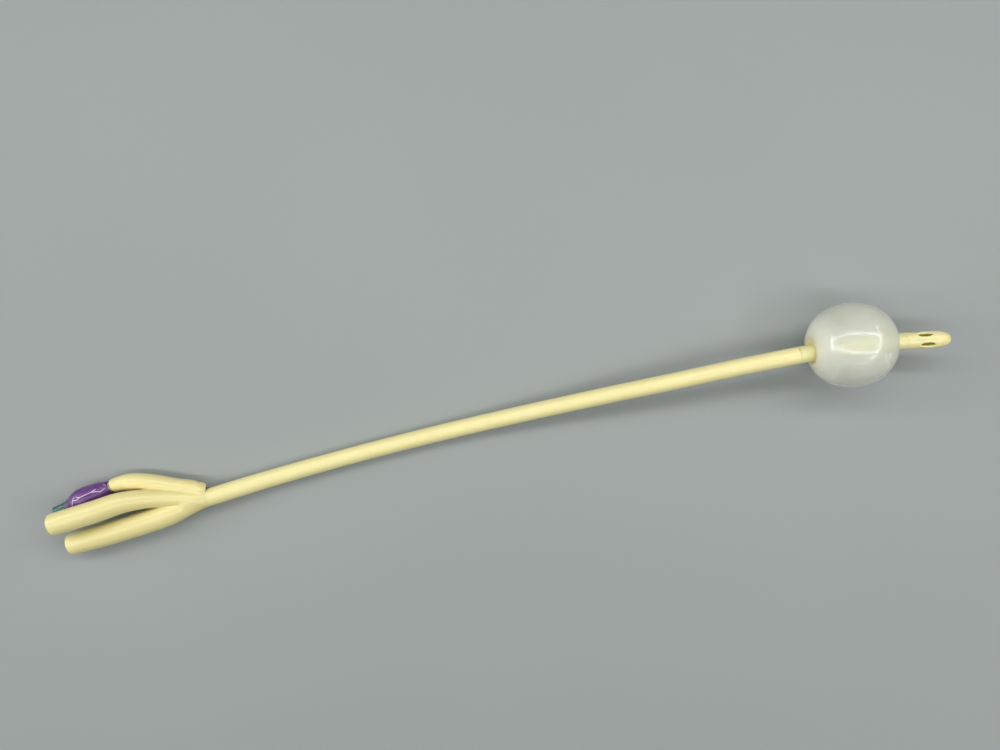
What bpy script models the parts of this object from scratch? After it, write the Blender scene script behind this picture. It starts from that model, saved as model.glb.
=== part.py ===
"""A three-way urinary balloon catheter, lying on a table with its balloon filled with water.

The latex shaft has three lumens. At the hub they open into a drainage funnel, an irrigation funnel
and a thin inflation arm, which ends in a spring-loaded syringe valve under a violet sleeve. At the
other end the shaft passes through the balloon and ends in a round tip with eyes.

Units are metres. +X runs from the hub to the tip, +Y to the left of it, and +Z up from the table.
"""

import math

import bmesh
import bpy
from mathutils import Matrix, Vector

MM = 0.001

# Clearances
BOND_GAP = 0.2 * MM
RUNNING_GAP = 0.1 * MM
FACE_GAP = 0.3 * MM
CUT_PAST = 1.5 * MM

# Shaft, 22 French, seen from above as points in millimetres
SHAFT_DIAMETER = 7.33 * MM
SHAFT_PLAN = [
    (-139.2, -1.2), (-131.2, -0.7), (-102.0, 1.1), (-65.0, 2.6), (-28.0, 3.3), (8.0, 3.3),
    (44.0, 2.9), (79.0, 2.2), (113.0, 1.6), (139.5, 0.6), (157.0, -0.5), (176.0, -3.2), (198.4, -7.2),
]
SHAFT_SIDES = 20
SHAFT_STATION = 11.0 * MM
THICK_END_DIAMETER = 7.9 * MM
THICK_END_LENGTH = 70.0 * MM
LIFT_START_X = -38.0 * MM
LIFT_END_BEFORE_BALLOON = 10.3 * MM
HUB_DROP_LENGTH = 32.0 * MM

# Lumens, each with its centre to the left of the shaft's axis and above it
DRAIN_LUMEN_WIDTH = 4.1 * MM
DRAIN_LUMEN_HEIGHT = 2.9 * MM
DRAIN_LUMEN_PLACE = (0.0, 0.95 * MM)
DRAIN_LUMEN_SIDES = 14
RINSE_LUMEN_DIAMETER = 1.6 * MM
RINSE_LUMEN_PLACE = (-0.6 * MM, -1.75 * MM)
RINSE_LUMEN_SIDES = 8
FILL_LUMEN_DIAMETER = 0.8 * MM
FILL_LUMEN_PLACE = (1.55 * MM, -1.35 * MM)
FILL_LUMEN_SIDES = 6
FILL_HOLE_DIAMETER = 0.9 * MM
FILL_LUMEN_PAST_HOLE = 3.0 * MM

# Balloon and the bed in the shaft that its collars are bonded into
BALLOON_DIAMETER = 36.0 * MM
BALLOON_CENTRE_X = 156.3 * MM
BALLOON_TO_LEFT = 0.5 * MM
BALLOON_FILM = 0.4 * MM
BALLOON_COLLAR = 5.0 * MM
BED_DEPTH = 0.6 * MM
BED_STEP = 0.02 * MM
BALLOON_SEGMENTS = 32
BALLOON_ARC_COUNT = 16
WATER_SEGMENTS = 24
WATER_ARC_COUNT = 13

# Tip, with its length measured from the end of the balloon's collar
TIP_LENGTH = 20.0 * MM
TIP_EYE_DIAMETER = 7.9 * MM
TIP_NOSE_LENGTH = 8.6 * MM
TIP_NOSE_STEPS = 8
TIP_SWELL_LENGTH = 9.0 * MM
TIP_STATION = 3.0 * MM
TIP_POLE_RADIUS = 0.04 * MM
TIP_JOINT_IN_COLLAR = 2.5 * MM
TIP_CAVITY_DIAMETER = 4.8 * MM
TIP_CAVITY_RISE = 0.6 * MM
TIP_CAVITY_TAPER = 2.0 * MM
TIP_CAVITY_ROUND = 1.2 * MM
EYE_FROM_END = 11.6 * MM
EYE_LENGTH = 6.3 * MM
EYE_WIDTH = 2.4 * MM
EYE_ANGLE = math.radians(31.0)
EYE_SIDES = 20
RINSE_EYE_LENGTH = 4.0 * MM
RINSE_EYE_WIDTH = 1.8 * MM
RINSE_EYE_BACK = 1.0 * MM

# Hub: a barrel moulded round the end of the shaft, from which the three arms grow
HUB_WALL = 1.15 * MM
HUB_SOCKET_DEPTH = 8.0 * MM
# The barrel's rows: millimetres along the shaft from its end, and share of the hub's radius
HUB_BARREL = [
    (-3.0, 0.55), (-1.5, 0.85), (1.0, 1.0), (6.6, 1.0), (7.3, 0.98), (7.81, 0.92), (8.0, 0.84),
]
ARM_SIDES = 24
BORE_SIDES = 16
ARM_STATION = 4.5 * MM
SOCKET_STATION = 4.0 * MM

# Each arm is seen from above in millimetres, and has its diameters in millimetres along its length
# Drainage funnel, the arm on top, with its rise over the hub's axis
DRAIN_ARM = [
    (-137.8, 1.0, 0.5), (-145.7, 3.1, 1.8), (-156.4, 5.5, 4.0), (-165.0, 6.3, 6.0),
    (-175.7, 5.4, 7.9), (-184.5, 4.8, 8.8), (-194.9, 4.1, 9.4),
]
DRAIN_DIAMETERS = [(12.0, 7.4), (45.0, 9.8)]
# Irrigation funnel, the arm that lies on the table on the right of the hub
RINSE_ARM = [
    (-136.5, -1.8), (-142.3, -2.7), (-151.7, -4.1), (-161.0, -4.9), (-176.4, -5.9), (-194.3, -6.7),
]
RINSE_DIAMETERS = [(2.0, 7.5), (19.0, 10.4), (45.0, 10.4), (62.0, 9.7)]
# Inflation arm, on the left of the hub, which the valve's tail plugs into
FILL_ARM = [(-136.5, 4.9), (-145.4, 8.5), (-151.5, 11.0), (-158.0, 13.2), (-164.8, 14.4), (-170.5, 14.1)]
FILL_DIAMETERS = [(3.0, 6.8), (22.0, 7.6), (31.0, 7.6), (40.0, 6.2)]
FILL_START_LEFT = 3.3 * MM
FILL_START_BACK = 1.0 * MM
FILL_START_ROUND = 1.6 * MM
FILL_CHANNEL_DIAMETER = 0.9 * MM
FILL_CHANNEL_JOIN = 10.0 * MM
FUNNEL_WALL = 1.0 * MM
FUNNEL_THROAT_DIAMETER = 3.2 * MM
# The funnels' bores widen between these two distances from the mouth
FUNNEL_BORE = (46.0 * MM, 16.0 * MM)

# Valve, with its lengths measured inward from the mouth of the syringe port
VALVE_HEADING = math.radians(-167.0)
PORT_LENGTH = 7.5 * MM
PORT_DIAMETER = 5.4 * MM
PORT_BORE_DIAMETER = 4.27 * MM
PORT_TAPER = 0.06
PORT_BORE_DEPTH = 8.5 * MM
PORT_CHAMFER = 0.25 * MM
THROAT_DIAMETER = 3.2 * MM
SEAT_DEPTH = 11.0 * MM
HOUSING_DIAMETER = 9.0 * MM
HOUSING_END_DIAMETER = 7.8 * MM
HOUSING_LENGTH = 20.5 * MM
HOUSING_SHOULDER = 0.5 * MM
CHAMBER_DIAMETER = 6.4 * MM
BASE_PLUG_LENGTH = 2.0 * MM
BASE_FLANGE = 1.2 * MM
BASE_CONE_LENGTH = 5.2 * MM
BASE_NECK_DIAMETER = 4.4 * MM
BASE_CAVITY_DIAMETER = 4.2 * MM
BASE_CAVITY_DEPTH = 3.1 * MM
TAIL_LENGTH = 9.0 * MM
TAIL_DIAMETER = 3.0 * MM
TAIL_BORE_DIAMETER = 1.6 * MM
BARB_HEIGHT = 0.25 * MM
BARB_COUNT = 3
BARB_SLOPE = 0.8
FLOW_HOLE_DIAMETER = 0.8 * MM
FLOW_HOLE_CIRCLE = 4.2 * MM
FLOW_HOLE_COUNT = 4
FLOW_HOLE_SIDES = 8
PLUNGER_REACH = 5.5 * MM
PLUNGER_STEM_DIAMETER = 2.7 * MM
PLUNGER_FLUTE_DIAMETER = 1.1 * MM
PLUNGER_FLUTE_COUNT = 4
PLUNGER_FLUTE_SHORT = 0.2 * MM
PLUNGER_FLUTE_SIDES = 10
PLUNGER_ROUND = 0.3 * MM
PLUNGER_HEAD_DIAMETER = 5.4 * MM
PLUNGER_HEAD = 0.8 * MM
PLUNGER_GUIDE_DIAMETER = 1.8 * MM
SEAL_DIAMETER = 5.0 * MM
SEAL_THICKNESS = 0.9 * MM
SEAL_BEAD = 0.2 * MM
SPRING_WIRE = 0.35 * MM
SPRING_DIAMETER = 3.9 * MM
SPRING_TURNS = 4.5
SPRING_POINTS_PER_TURN = 12
SPRING_SIDES = 8
SPRING_CLOSING = 0.75
SLEEVE_WALL = 0.35 * MM
SLEEVE_START = 6.5 * MM
TURNED_STEPS = 24

# Sizes that follow from the ones above
SHAFT_RADIUS = SHAFT_DIAMETER / 2
THICK_END_RADIUS = THICK_END_DIAMETER / 2
BED_RADIUS = SHAFT_RADIUS - BED_DEPTH
BALLOON_RADIUS = BALLOON_DIAMETER / 2
LIFT_END_X = BALLOON_CENTRE_X - LIFT_END_BEFORE_BALLOON
HUB_RADIUS = THICK_END_RADIUS + BOND_GAP + HUB_WALL
RINSE_LIE = max(diameter for _, diameter in RINSE_DIAMETERS) / 2 * MM
SLEEVE_RADIUS = HOUSING_DIAMETER / 2 + BOND_GAP + SLEEVE_WALL
BASE_START = HOUSING_LENGTH + RUNNING_GAP
WEB_START = BASE_START - BASE_PLUG_LENGTH
VALVE_LENGTH = BASE_START + BASE_FLANGE + BASE_CONE_LENGTH
SEAL_START = SEAT_DEPTH + RUNNING_GAP / 2
HEAD_START = SEAL_START + SEAL_THICKNESS + RUNNING_GAP


def clear_scene():
    for thing in list(bpy.data.objects):
        bpy.data.objects.remove(thing, do_unlink=True)


def new_collection(name):
    collection = bpy.data.collections.new(name)
    bpy.context.scene.collection.children.link(collection)
    return collection


def material(name, colour, roughness, metallic=0.0, alpha=1.0, transmission=0.0):
    """A Principled material with the colour given as linear red, green and blue."""
    made = bpy.data.materials.new(name)
    made.use_nodes = True
    shader = made.node_tree.nodes["Principled BSDF"]
    shader.inputs["Base Color"].default_value = (*colour, 1.0)
    shader.inputs["Roughness"].default_value = roughness
    shader.inputs["Metallic"].default_value = metallic
    shader.inputs["Alpha"].default_value = alpha
    shader.inputs["Transmission Weight"].default_value = transmission
    return made


def between(distance, start, end, first, last):
    """A size that goes smoothly from first at start to last at end, and is even outside them."""
    share = min(max((distance - start) / (end - start), 0.0), 1.0)
    return first + (last - first) * share * share * (3.0 - 2.0 * share)


def radius_from(diameters, distance):
    """Half the diameter at a distance along an arm, from (distance, diameter) in millimetres."""
    reached, last = diameters[0]
    for following, diameter in diameters[1:]:
        if distance <= following * MM:
            return between(distance, reached * MM, following * MM, last, diameter) / 2 * MM
        reached, last = following, diameter
    return last / 2 * MM


def drain_radius(distance):
    return radius_from(DRAIN_DIAMETERS, distance)


def rinse_radius(distance):
    return radius_from(RINSE_DIAMETERS, distance)


def fill_radius(distance):
    """The inflation arm starts with a round shoulder."""
    missing = max(1.0 - distance / FILL_START_ROUND, 0.0)
    return radius_from(FILL_DIAMETERS, distance) * math.sqrt(1.0 - 0.75 * missing * missing)


class Route:
    """A smooth curve through points, read by the distance from its first point."""

    SAMPLES = 14

    def __init__(self, points, start=None, end=None):
        points = [Vector(point) for point in points]
        spans = [(after - before).length for before, after in zip(points, points[1:])]
        slopes = [(after - before) / span for before, after, span in zip(points, points[1:], spans)]
        tangents = [slopes[0]]
        for index in range(1, len(points) - 1):
            before, after = spans[index - 1], spans[index]
            blended = (slopes[index - 1] * after + slopes[index] * before) / (before + after)
            tangents.append(blended)
        tangents.append(slopes[-1])
        if start is not None:
            tangents[0] = Vector(start).normalized()
        if end is not None:
            tangents[-1] = Vector(end).normalized()
        samples = [points[0]]
        for index, span in enumerate(spans):
            for step in range(1, self.SAMPLES + 1):
                samples.append(self.hermite(points, tangents, index, span, step / self.SAMPLES))
        self.set_samples(samples)

    @staticmethod
    def hermite(points, tangents, index, span, t):
        """The point at share t of one span of the curve."""
        rise = t * t * (3.0 - 2.0 * t)
        leave = t * (1.0 - t) * (1.0 - t)
        arrive = t * t * (t - 1.0)
        place = points[index] * (1.0 - rise) + points[index + 1] * rise
        return place + tangents[index] * (span * leave) + tangents[index + 1] * (span * arrive)

    def set_samples(self, samples):
        self.samples = samples
        self.distances = [0.0]
        for before, after in zip(samples, samples[1:]):
            self.distances.append(self.distances[-1] + (after - before).length)
        self.length = self.distances[-1]

    def point(self, distance):
        """The place at a distance, carried on straight past either end."""
        last = len(self.samples) - 2
        index = 0
        while index < last and self.distances[index + 1] < distance:
            index += 1
        span = self.distances[index + 1] - self.distances[index]
        share = (distance - self.distances[index]) / span
        return self.samples[index].lerp(self.samples[index + 1], share)

    def direction(self, distance):
        reach = 0.4 * MM
        return (self.point(distance + reach) - self.point(distance - reach)).normalized()

    def sides(self, distance):
        """The directions to the left of the route and up from it."""
        ahead = self.direction(distance)
        left = Vector((0.0, 0.0, 1.0)).cross(ahead).normalized()
        return left, ahead.cross(left).normalized()

    def beside(self, distance, place):
        """The point at a place (left, up) beside the route."""
        left, up = self.sides(distance)
        return self.point(distance) + left * place[0] + up * place[1]

    def at_x(self, x):
        """The distance at which the route passes an x."""
        for index, sample in enumerate(self.samples[1:], 1):
            before = self.samples[index - 1]
            if sample.x >= x:
                share = (x - before.x) / (sample.x - before.x)
                return self.distances[index - 1] + share * (sample - before).length
        return self.length

    def matrix(self, distance):
        """A frame at a distance, whose +Z runs along the route and whose +Y points up."""
        left, up = self.sides(distance)
        columns = Matrix((left * -1.0, up, self.direction(distance))).transposed()
        return Matrix.Translation(self.point(distance)) @ columns.to_4x4()


def stations(start, end, spacing):
    """Distances from start to end, evenly spaced by about the spacing."""
    count = max(1, round(abs(end - start) / spacing))
    return [start + (end - start) * index / count for index in range(count + 1)]


def place_object(name, mesh, collection, finish=None):
    made = bpy.data.objects.new(name, mesh)
    collection.objects.link(made)
    if finish is not None:
        mesh.materials.clear()
        mesh.materials.append(finish)
    if collection == CUTTERS:
        made.hide_render = True
        made.display_type = "WIRE"
    return made


def swept(name, centres, radii, sides, collection, finish=None, oval=None):
    """A closed rod along the centres with a radius at each, or an oval (width, height) all along."""
    curve = bpy.data.curves.new(name, "CURVE")
    curve.dimensions = "3D"
    curve.twist_mode = "Z_UP"
    curve.use_fill_caps = True
    profile = None
    if oval is None:
        curve.bevel_depth = 1.0
        curve.bevel_resolution = (sides - 4) // 2
    else:
        profile = oval_profile(name + "_profile", oval, sides)
        curve.bevel_mode = "OBJECT"
        curve.bevel_object = profile
    spline = curve.splines.new("POLY")
    spline.points.add(len(centres) - 1)
    for point, centre, radius in zip(spline.points, centres, radii):
        point.co = (*centre, 1.0)
        point.radius = radius
    rail = bpy.data.objects.new(name + "_rail", curve)
    collection.objects.link(rail)
    bpy.context.view_layer.update()
    seen = rail.evaluated_get(bpy.context.evaluated_depsgraph_get())
    mesh = bpy.data.meshes.new_from_object(seen)
    mesh.name = name
    bpy.data.objects.remove(rail)
    if profile is not None:
        bpy.data.objects.remove(profile)
    weld(mesh)
    return place_object(name, mesh, collection, finish)


def oval_profile(name, size, sides):
    """A flat closed outline of the width and height given, for a lumen that isn't round."""
    curve = bpy.data.curves.new(name, "CURVE")
    curve.dimensions = "2D"
    spline = curve.splines.new("POLY")
    spline.points.add(sides - 1)
    for index, point in enumerate(spline.points):
        turn = 2.0 * math.pi * index / sides
        point.co = (size[0] / 2 * math.cos(turn), size[1] / 2 * math.sin(turn), 0.0, 1.0)
    spline.use_cyclic_u = True
    outline = bpy.data.objects.new(name, curve)
    CUTTERS.objects.link(outline)
    return outline


def weld(mesh):
    """Joins a mesh's doubled points and turns its faces outward."""
    shape = bmesh.new()
    shape.from_mesh(mesh)
    bmesh.ops.remove_doubles(shape, verts=shape.verts, dist=1e-7)
    bmesh.ops.recalc_face_normals(shape, faces=shape.faces)
    shape.to_mesh(mesh)
    shape.free()


def round_shading(thing):
    thing.data.shade_smooth()
    thing.data.set_sharp_from_angle(angle=math.radians(40.0))


def turned(name, outline, frame, steps, collection, finish=None, closed=True):
    """A turned solid from an outline of (radius, depth) points, about the frame's Z axis."""
    area = sum(a[0] * b[1] - b[0] * a[1] for a, b in zip(outline, outline[1:] + outline[:1]))
    if area > 0.0:
        outline = outline[::-1]
    mesh = bpy.data.meshes.new(name)
    count = len(outline)
    edges = [(index, index + 1) for index in range(count - 1)]
    if closed:
        edges.append((count - 1, 0))
    mesh.from_pydata([(radius, 0.0, depth) for radius, depth in outline], edges, [])
    made = place_object(name, mesh, collection, finish)
    made.matrix_world = frame
    screw = made.modifiers.new("Turn", "SCREW")
    screw.steps = steps
    screw.render_steps = steps
    screw.use_merge_vertices = True
    screw.merge_threshold = 1e-6
    screw.use_smooth_shade = True
    return made


def pin(name, radius, length, frame, sides):
    """A plain round cutting pin of a length, standing on the frame's origin along its Z axis."""
    shape = bmesh.new()
    bmesh.ops.create_cone(
        shape, cap_ends=True, segments=sides, radius1=radius, radius2=radius, depth=length,
        matrix=Matrix.Translation((0.0, 0.0, length / 2)),
    )
    mesh = bpy.data.meshes.new(name)
    shape.to_mesh(mesh)
    shape.free()
    made = place_object(name, mesh, CUTTERS)
    made.matrix_world = frame
    return made


def aimed(origin, outward):
    """A frame at an origin, whose +Z points outward."""
    turn = outward.to_track_quat("Z", "Y")
    return Matrix.Translation(origin) @ turn.to_matrix().to_4x4()


def combine(target, other, operation):
    modifier = target.modifiers.new(other.name, "BOOLEAN")
    modifier.operation = operation
    modifier.solver = "EXACT"
    modifier.object = other


def cut(target, *tools):
    for tool in tools:
        combine(target, tool, "DIFFERENCE")


def join(target, *pieces):
    for piece in pieces:
        combine(target, piece, "UNION")


def shaft_radius(distance):
    """The shaft is a little thicker where it enters the hub."""
    start = HUB_SOCKET_DEPTH
    return between(distance, start, start + THICK_END_LENGTH, THICK_END_RADIUS, SHAFT_RADIUS)


def shaft_height(x):
    """The height of the shaft's axis: down from the hub, along the table, and up to the balloon."""
    start = SHAFT_PLAN[0][0] * MM
    mouth = start + HUB_SOCKET_DEPTH
    low = between(x, mouth, mouth + HUB_DROP_LENGTH, HUB_RADIUS, shaft_radius(x - start))
    return between(x, LIFT_START_X, LIFT_END_X, low, BALLOON_RADIUS)


def shaft_route():
    """The shaft's axis from its end in the hub, carried on through the tip."""
    route = Route([(x * MM, y * MM, 0.0) for x, y in SHAFT_PLAN])
    route.set_samples([Vector((p.x, p.y, shaft_height(p.x))) for p in route.samples])
    return route


def balloon_span(route):
    """Distances of the balloon's centre and of the outer ends of its two collars."""
    centre = route.at_x(BALLOON_CENTRE_X)
    reach = math.sqrt(BALLOON_RADIUS**2 - SHAFT_RADIUS**2) + BALLOON_COLLAR
    return centre, centre - reach, centre + reach


def bedded(route, distances, bed, radius_at):
    """Centres and radii along the route, with the balloon's bed as a step down between two ends."""
    rows = [(distance, radius_at(distance)) for distance in distances if not bed[0] <= distance <= bed[1]]
    for edge, outer in ((bed[0], -BED_STEP), (bed[1], BED_STEP)):
        if distances[0] < edge < distances[-1]:
            rows.append((edge + outer, radius_at(edge)))
            rows.append((edge, BED_RADIUS))
    for distance in distances:
        if bed[0] + BED_STEP < distance < bed[1] - BED_STEP:
            rows.append((distance, BED_RADIUS))
    rows.sort()
    return [route.point(distance) for distance, _ in rows], [radius for _, radius in rows]


def lumen(name, route, start, end, place, size, sides):
    """A cutter for one lumen beside the shaft's axis, round or oval by its (width, height)."""
    centres = [route.beside(distance, place) for distance in stations(start, end, SHAFT_STATION)]
    if size[0] == size[1]:
        return swept(name, centres, [size[0] / 2] * len(centres), sides, CUTTERS)
    return swept(name, centres, [1.0] * len(centres), sides, CUTTERS, oval=size)


def build_shaft(route, finish):
    centre, bed_start, bed_end = balloon_span(route)
    joint = bed_end - TIP_JOINT_IN_COLLAR
    along = stations(0.0, joint, SHAFT_STATION)
    centres, radii = bedded(route, along, (bed_start - FACE_GAP, bed_end + FACE_GAP), shaft_radius)
    shaft = swept("shaft", centres, radii, SHAFT_SIDES, CATHETER, finish)
    past = joint + CUT_PAST
    drain_size = (DRAIN_LUMEN_WIDTH, DRAIN_LUMEN_HEIGHT)
    rinse_size = (RINSE_LUMEN_DIAMETER, RINSE_LUMEN_DIAMETER)
    fill_size = (FILL_LUMEN_DIAMETER, FILL_LUMEN_DIAMETER)
    fill_end = centre + FILL_LUMEN_PAST_HOLE
    left, up = route.sides(centre)
    outward = left * FILL_LUMEN_PLACE[0] + up * FILL_LUMEN_PLACE[1]
    hole = aimed(route.beside(centre, FILL_LUMEN_PLACE), outward)
    cut(
        shaft,
        lumen("drain_lumen", route, -CUT_PAST, past, DRAIN_LUMEN_PLACE, drain_size, DRAIN_LUMEN_SIDES),
        lumen("rinse_lumen", route, -CUT_PAST, past, RINSE_LUMEN_PLACE, rinse_size, RINSE_LUMEN_SIDES),
        lumen("fill_lumen", route, -CUT_PAST, fill_end, FILL_LUMEN_PLACE, fill_size, FILL_LUMEN_SIDES),
        pin("fill_hole", FILL_HOLE_DIAMETER / 2, SHAFT_RADIUS, hole, FILL_LUMEN_SIDES + 2),
    )
    round_shading(shaft)
    return shaft


def tip_radius(distance, end):
    """The tip swells a little round its eyes and then closes in a half oval."""
    nose = end - TIP_NOSE_LENGTH
    wide = TIP_EYE_DIAMETER / 2
    if distance <= nose:
        return between(distance, nose - TIP_SWELL_LENGTH, nose, SHAFT_RADIUS, wide)
    share = (distance - nose) / TIP_NOSE_LENGTH
    return wide * math.sqrt(max(1.0 - share * share, 0.0)) + TIP_POLE_RADIUS


def tip_cavity(route, start, eye):
    """The drainage lumen inside the tip, which widens behind the eyes and ends round."""
    place = (0.0, TIP_CAVITY_RISE)
    wide = TIP_CAVITY_DIAMETER / 2
    small = DRAIN_LUMEN_HEIGHT / 2
    wide_start = eye - EYE_LENGTH / 2
    wide_end = eye + EYE_LENGTH / 2
    rows = [
        (start - CUT_PAST, DRAIN_LUMEN_PLACE, small),
        (wide_start - TIP_CAVITY_TAPER, DRAIN_LUMEN_PLACE, small),
        (wide_start, place, wide),
        (wide_end, place, wide),
        (wide_end + TIP_CAVITY_ROUND, place, wide / 2),
    ]
    centres = [route.beside(distance, spot) for distance, spot, _ in rows]
    return swept("tip_cavity", centres, [radius for _, _, radius in rows], DRAIN_LUMEN_SIDES, CUTTERS)


def eye_cutter(name, route, distance, place, angle, size):
    """A long round-ended pin through the tip's wall, turned about the tip by the angle from up."""
    left, up = route.sides(distance)
    ahead = route.direction(distance)
    outward = up * math.cos(angle) - left * math.sin(angle)
    across = outward.cross(ahead)
    axes = Matrix((ahead * (size[0] / 2), across * (size[1] / 2), outward)).transposed().to_4x4()
    frame = Matrix.Translation(route.beside(distance, place)) @ axes
    return pin(name, 1.0, TIP_EYE_DIAMETER, frame, EYE_SIDES)


def build_tip(route, finish):
    _, _, bed_end = balloon_span(route)
    start = bed_end - TIP_JOINT_IN_COLLAR + FACE_GAP
    end = bed_end + TIP_LENGTH
    nose = end - TIP_NOSE_LENGTH
    turns = [math.pi / 2 * index / TIP_NOSE_STEPS for index in range(1, TIP_NOSE_STEPS + 1)]
    along = stations(start, nose, TIP_STATION) + [nose + TIP_NOSE_LENGTH * math.sin(turn) for turn in turns]
    bed = (0.0, bed_end + FACE_GAP)
    centres, radii = bedded(route, along, bed, lambda distance: tip_radius(distance, end))
    tip = swept("tip", centres, radii, SHAFT_SIDES, CATHETER, finish)

    eye = end - EYE_FROM_END
    rinse_size = (RINSE_LUMEN_DIAMETER, RINSE_LUMEN_DIAMETER)
    rinse_angle = math.atan2(-RINSE_LUMEN_PLACE[0], RINSE_LUMEN_PLACE[1])
    middle = (0.0, TIP_CAVITY_RISE)
    eye_size = (EYE_LENGTH, EYE_WIDTH)
    rinse_eye_size = (RINSE_EYE_LENGTH, RINSE_EYE_WIDTH)
    cut(
        tip,
        tip_cavity(route, start, eye),
        lumen("tip_rinse", route, start - CUT_PAST, eye, RINSE_LUMEN_PLACE, rinse_size, RINSE_LUMEN_SIDES),
        eye_cutter("left_eye", route, eye, middle, -EYE_ANGLE, eye_size),
        eye_cutter("right_eye", route, eye, middle, EYE_ANGLE, eye_size),
        eye_cutter(
            "rinse_eye", route, eye - RINSE_EYE_BACK, RINSE_LUMEN_PLACE, rinse_angle, rinse_eye_size,
        ),
    )
    round_shading(tip)
    return tip


def ball(name, radius, segments, points, frame, collection, finish=None):
    """A ball turned about the frame's Z axis."""
    turns = [math.pi * index / (points - 1) for index in range(points)]
    outline = [(radius * math.sin(turn), -radius * math.cos(turn)) for turn in turns]
    outline[0] = (0.0, -radius)
    outline[-1] = (0.0, radius)
    return turned(name, outline, frame, segments, collection, finish, closed=False)


def build_balloon(route, film_finish, water_finish):
    """The film is a ball with a collar at each end, hollowed; the water fills it round the shaft."""
    centre, start, end = balloon_span(route)
    frame = Matrix.Translation(route.sides(centre)[0] * BALLOON_TO_LEFT) @ route.matrix(centre)

    def rod(name, radius, past):
        along = stations(start - past, end + past, BALLOON_COLLAR)
        centres = [route.point(distance) for distance in along]
        return swept(name, centres, [radius] * len(centres), SHAFT_SIDES, CUTTERS)

    balloon = ball(
        "balloon", BALLOON_RADIUS, BALLOON_SEGMENTS, BALLOON_ARC_COUNT, frame, CATHETER, film_finish,
    )
    join(balloon, rod("collars", SHAFT_RADIUS, 0.0))
    lining_radius = BALLOON_RADIUS - BALLOON_FILM
    lining = ball("lining", lining_radius, BALLOON_SEGMENTS, BALLOON_ARC_COUNT, frame, CUTTERS)
    cut(balloon, lining, rod("collar_bore", BED_RADIUS + BOND_GAP, CUT_PAST))

    water = ball(
        "balloon_water", lining_radius - FACE_GAP, WATER_SEGMENTS, WATER_ARC_COUNT, frame, CATHETER,
        water_finish,
    )
    cut(water, rod("water_bore", BED_RADIUS + FACE_GAP, 0.0))
    return balloon, water


def arm_route(route, points, beside=(0.0, 0.0), back=0.0, end=None):
    """An arm's axis, which leaves the mouth of the hub along the shaft."""
    distance = HUB_SOCKET_DEPTH - back
    root = route.beside(distance, beside)
    return Route([root] + points, start=route.direction(distance) * -1.0, end=end)


def arm_body(name, arm, radius_at, along):
    centres = [arm.point(distance) for distance in along]
    return swept(name, centres, [radius_at(distance) for distance in along], ARM_SIDES, CUTTERS)


def funnel_bore(name, arm, outer_at, root, root_radius):
    """A cutter from a lumen at the end of the shaft, through the throat, to the funnel's mouth."""
    narrow = arm.length - FUNNEL_BORE[0]
    full = arm.length - FUNNEL_BORE[1]
    centres = [root, root - Vector((CUT_PAST, 0.0, 0.0))]
    radii = [root_radius, root_radius]
    for distance in stations(narrow, arm.length, ARM_STATION):
        wide = outer_at(distance) - FUNNEL_WALL
        centres.append(arm.point(distance))
        radii.append(between(distance, narrow, full, FUNNEL_THROAT_DIAMETER / 2, wide))
    centres.append(arm.point(arm.length + CUT_PAST))
    radii.append(radii[-1])
    return swept(name, centres, radii, BORE_SIDES, CUTTERS)


def fill_channel(route, fill_arm, end):
    """A cutter from the fill lumen in the shaft to the valve's tail."""
    mouth = HUB_SOCKET_DEPTH
    centres = [route.beside(mouth - back, FILL_LUMEN_PLACE) for back in (CUT_PAST, 2 * CUT_PAST)]
    centres += [fill_arm.point(distance) for distance in stations(FILL_CHANNEL_JOIN, end, ARM_STATION)]
    radii = [FILL_CHANNEL_DIAMETER / 2] * len(centres)
    return swept("fill_channel", centres, radii, FILL_LUMEN_SIDES + 2, CUTTERS)


def build_hub(route, arms, finish):
    """The moulded hub: a barrel and three arms in one piece, cut by the socket and the bores."""
    drain_arm, rinse_arm, fill_arm = arms
    centres = [route.point(along * MM) for along, _ in HUB_BARREL]
    radii = [HUB_RADIUS * share for _, share in HUB_BARREL]
    hub = swept("funnel_hub", centres, radii, ARM_SIDES, CATHETER, finish)
    round_start = stations(0.0, FILL_START_ROUND, FILL_START_ROUND / 3)
    join(
        hub,
        arm_body("drain_arm", drain_arm, drain_radius, stations(0.0, drain_arm.length, ARM_STATION)),
        arm_body("rinse_arm", rinse_arm, rinse_radius, stations(0.0, rinse_arm.length, ARM_STATION)),
        arm_body(
            "fill_arm", fill_arm, fill_radius,
            round_start[:-1] + stations(FILL_START_ROUND, fill_arm.length, ARM_STATION),
        ),
    )

    along = stations(-BOND_GAP, HUB_SOCKET_DEPTH + CUT_PAST, SOCKET_STATION)
    socket_centres = [route.point(distance) for distance in along]
    socket_radii = [THICK_END_RADIUS + BOND_GAP] * len(along)
    drain_root = route.beside(CUT_PAST, DRAIN_LUMEN_PLACE)
    rinse_root = route.beside(CUT_PAST, RINSE_LUMEN_PLACE)
    tail_start = fill_arm.length - TAIL_LENGTH - BOND_GAP
    tail_radius = TAIL_DIAMETER / 2 + BARB_HEIGHT + BOND_GAP
    tail_back = Matrix.Translation((0.0, 0.0, tail_start - fill_arm.length))
    tail_frame = fill_arm.matrix(fill_arm.length) @ tail_back
    channel = fill_channel(route, fill_arm, tail_start)
    cut(
        hub,
        swept("hub_socket", socket_centres, socket_radii, SHAFT_SIDES, CUTTERS),
        funnel_bore("drain_bore", drain_arm, drain_radius, drain_root, DRAIN_LUMEN_HEIGHT / 2),
        funnel_bore("rinse_bore", rinse_arm, rinse_radius, rinse_root, RINSE_LUMEN_DIAMETER / 2),
        channel,
        pin("tail_bore", tail_radius, TAIL_LENGTH + CUT_PAST, tail_frame, BORE_SIDES),
    )
    round_shading(hub)
    return channel


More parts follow.
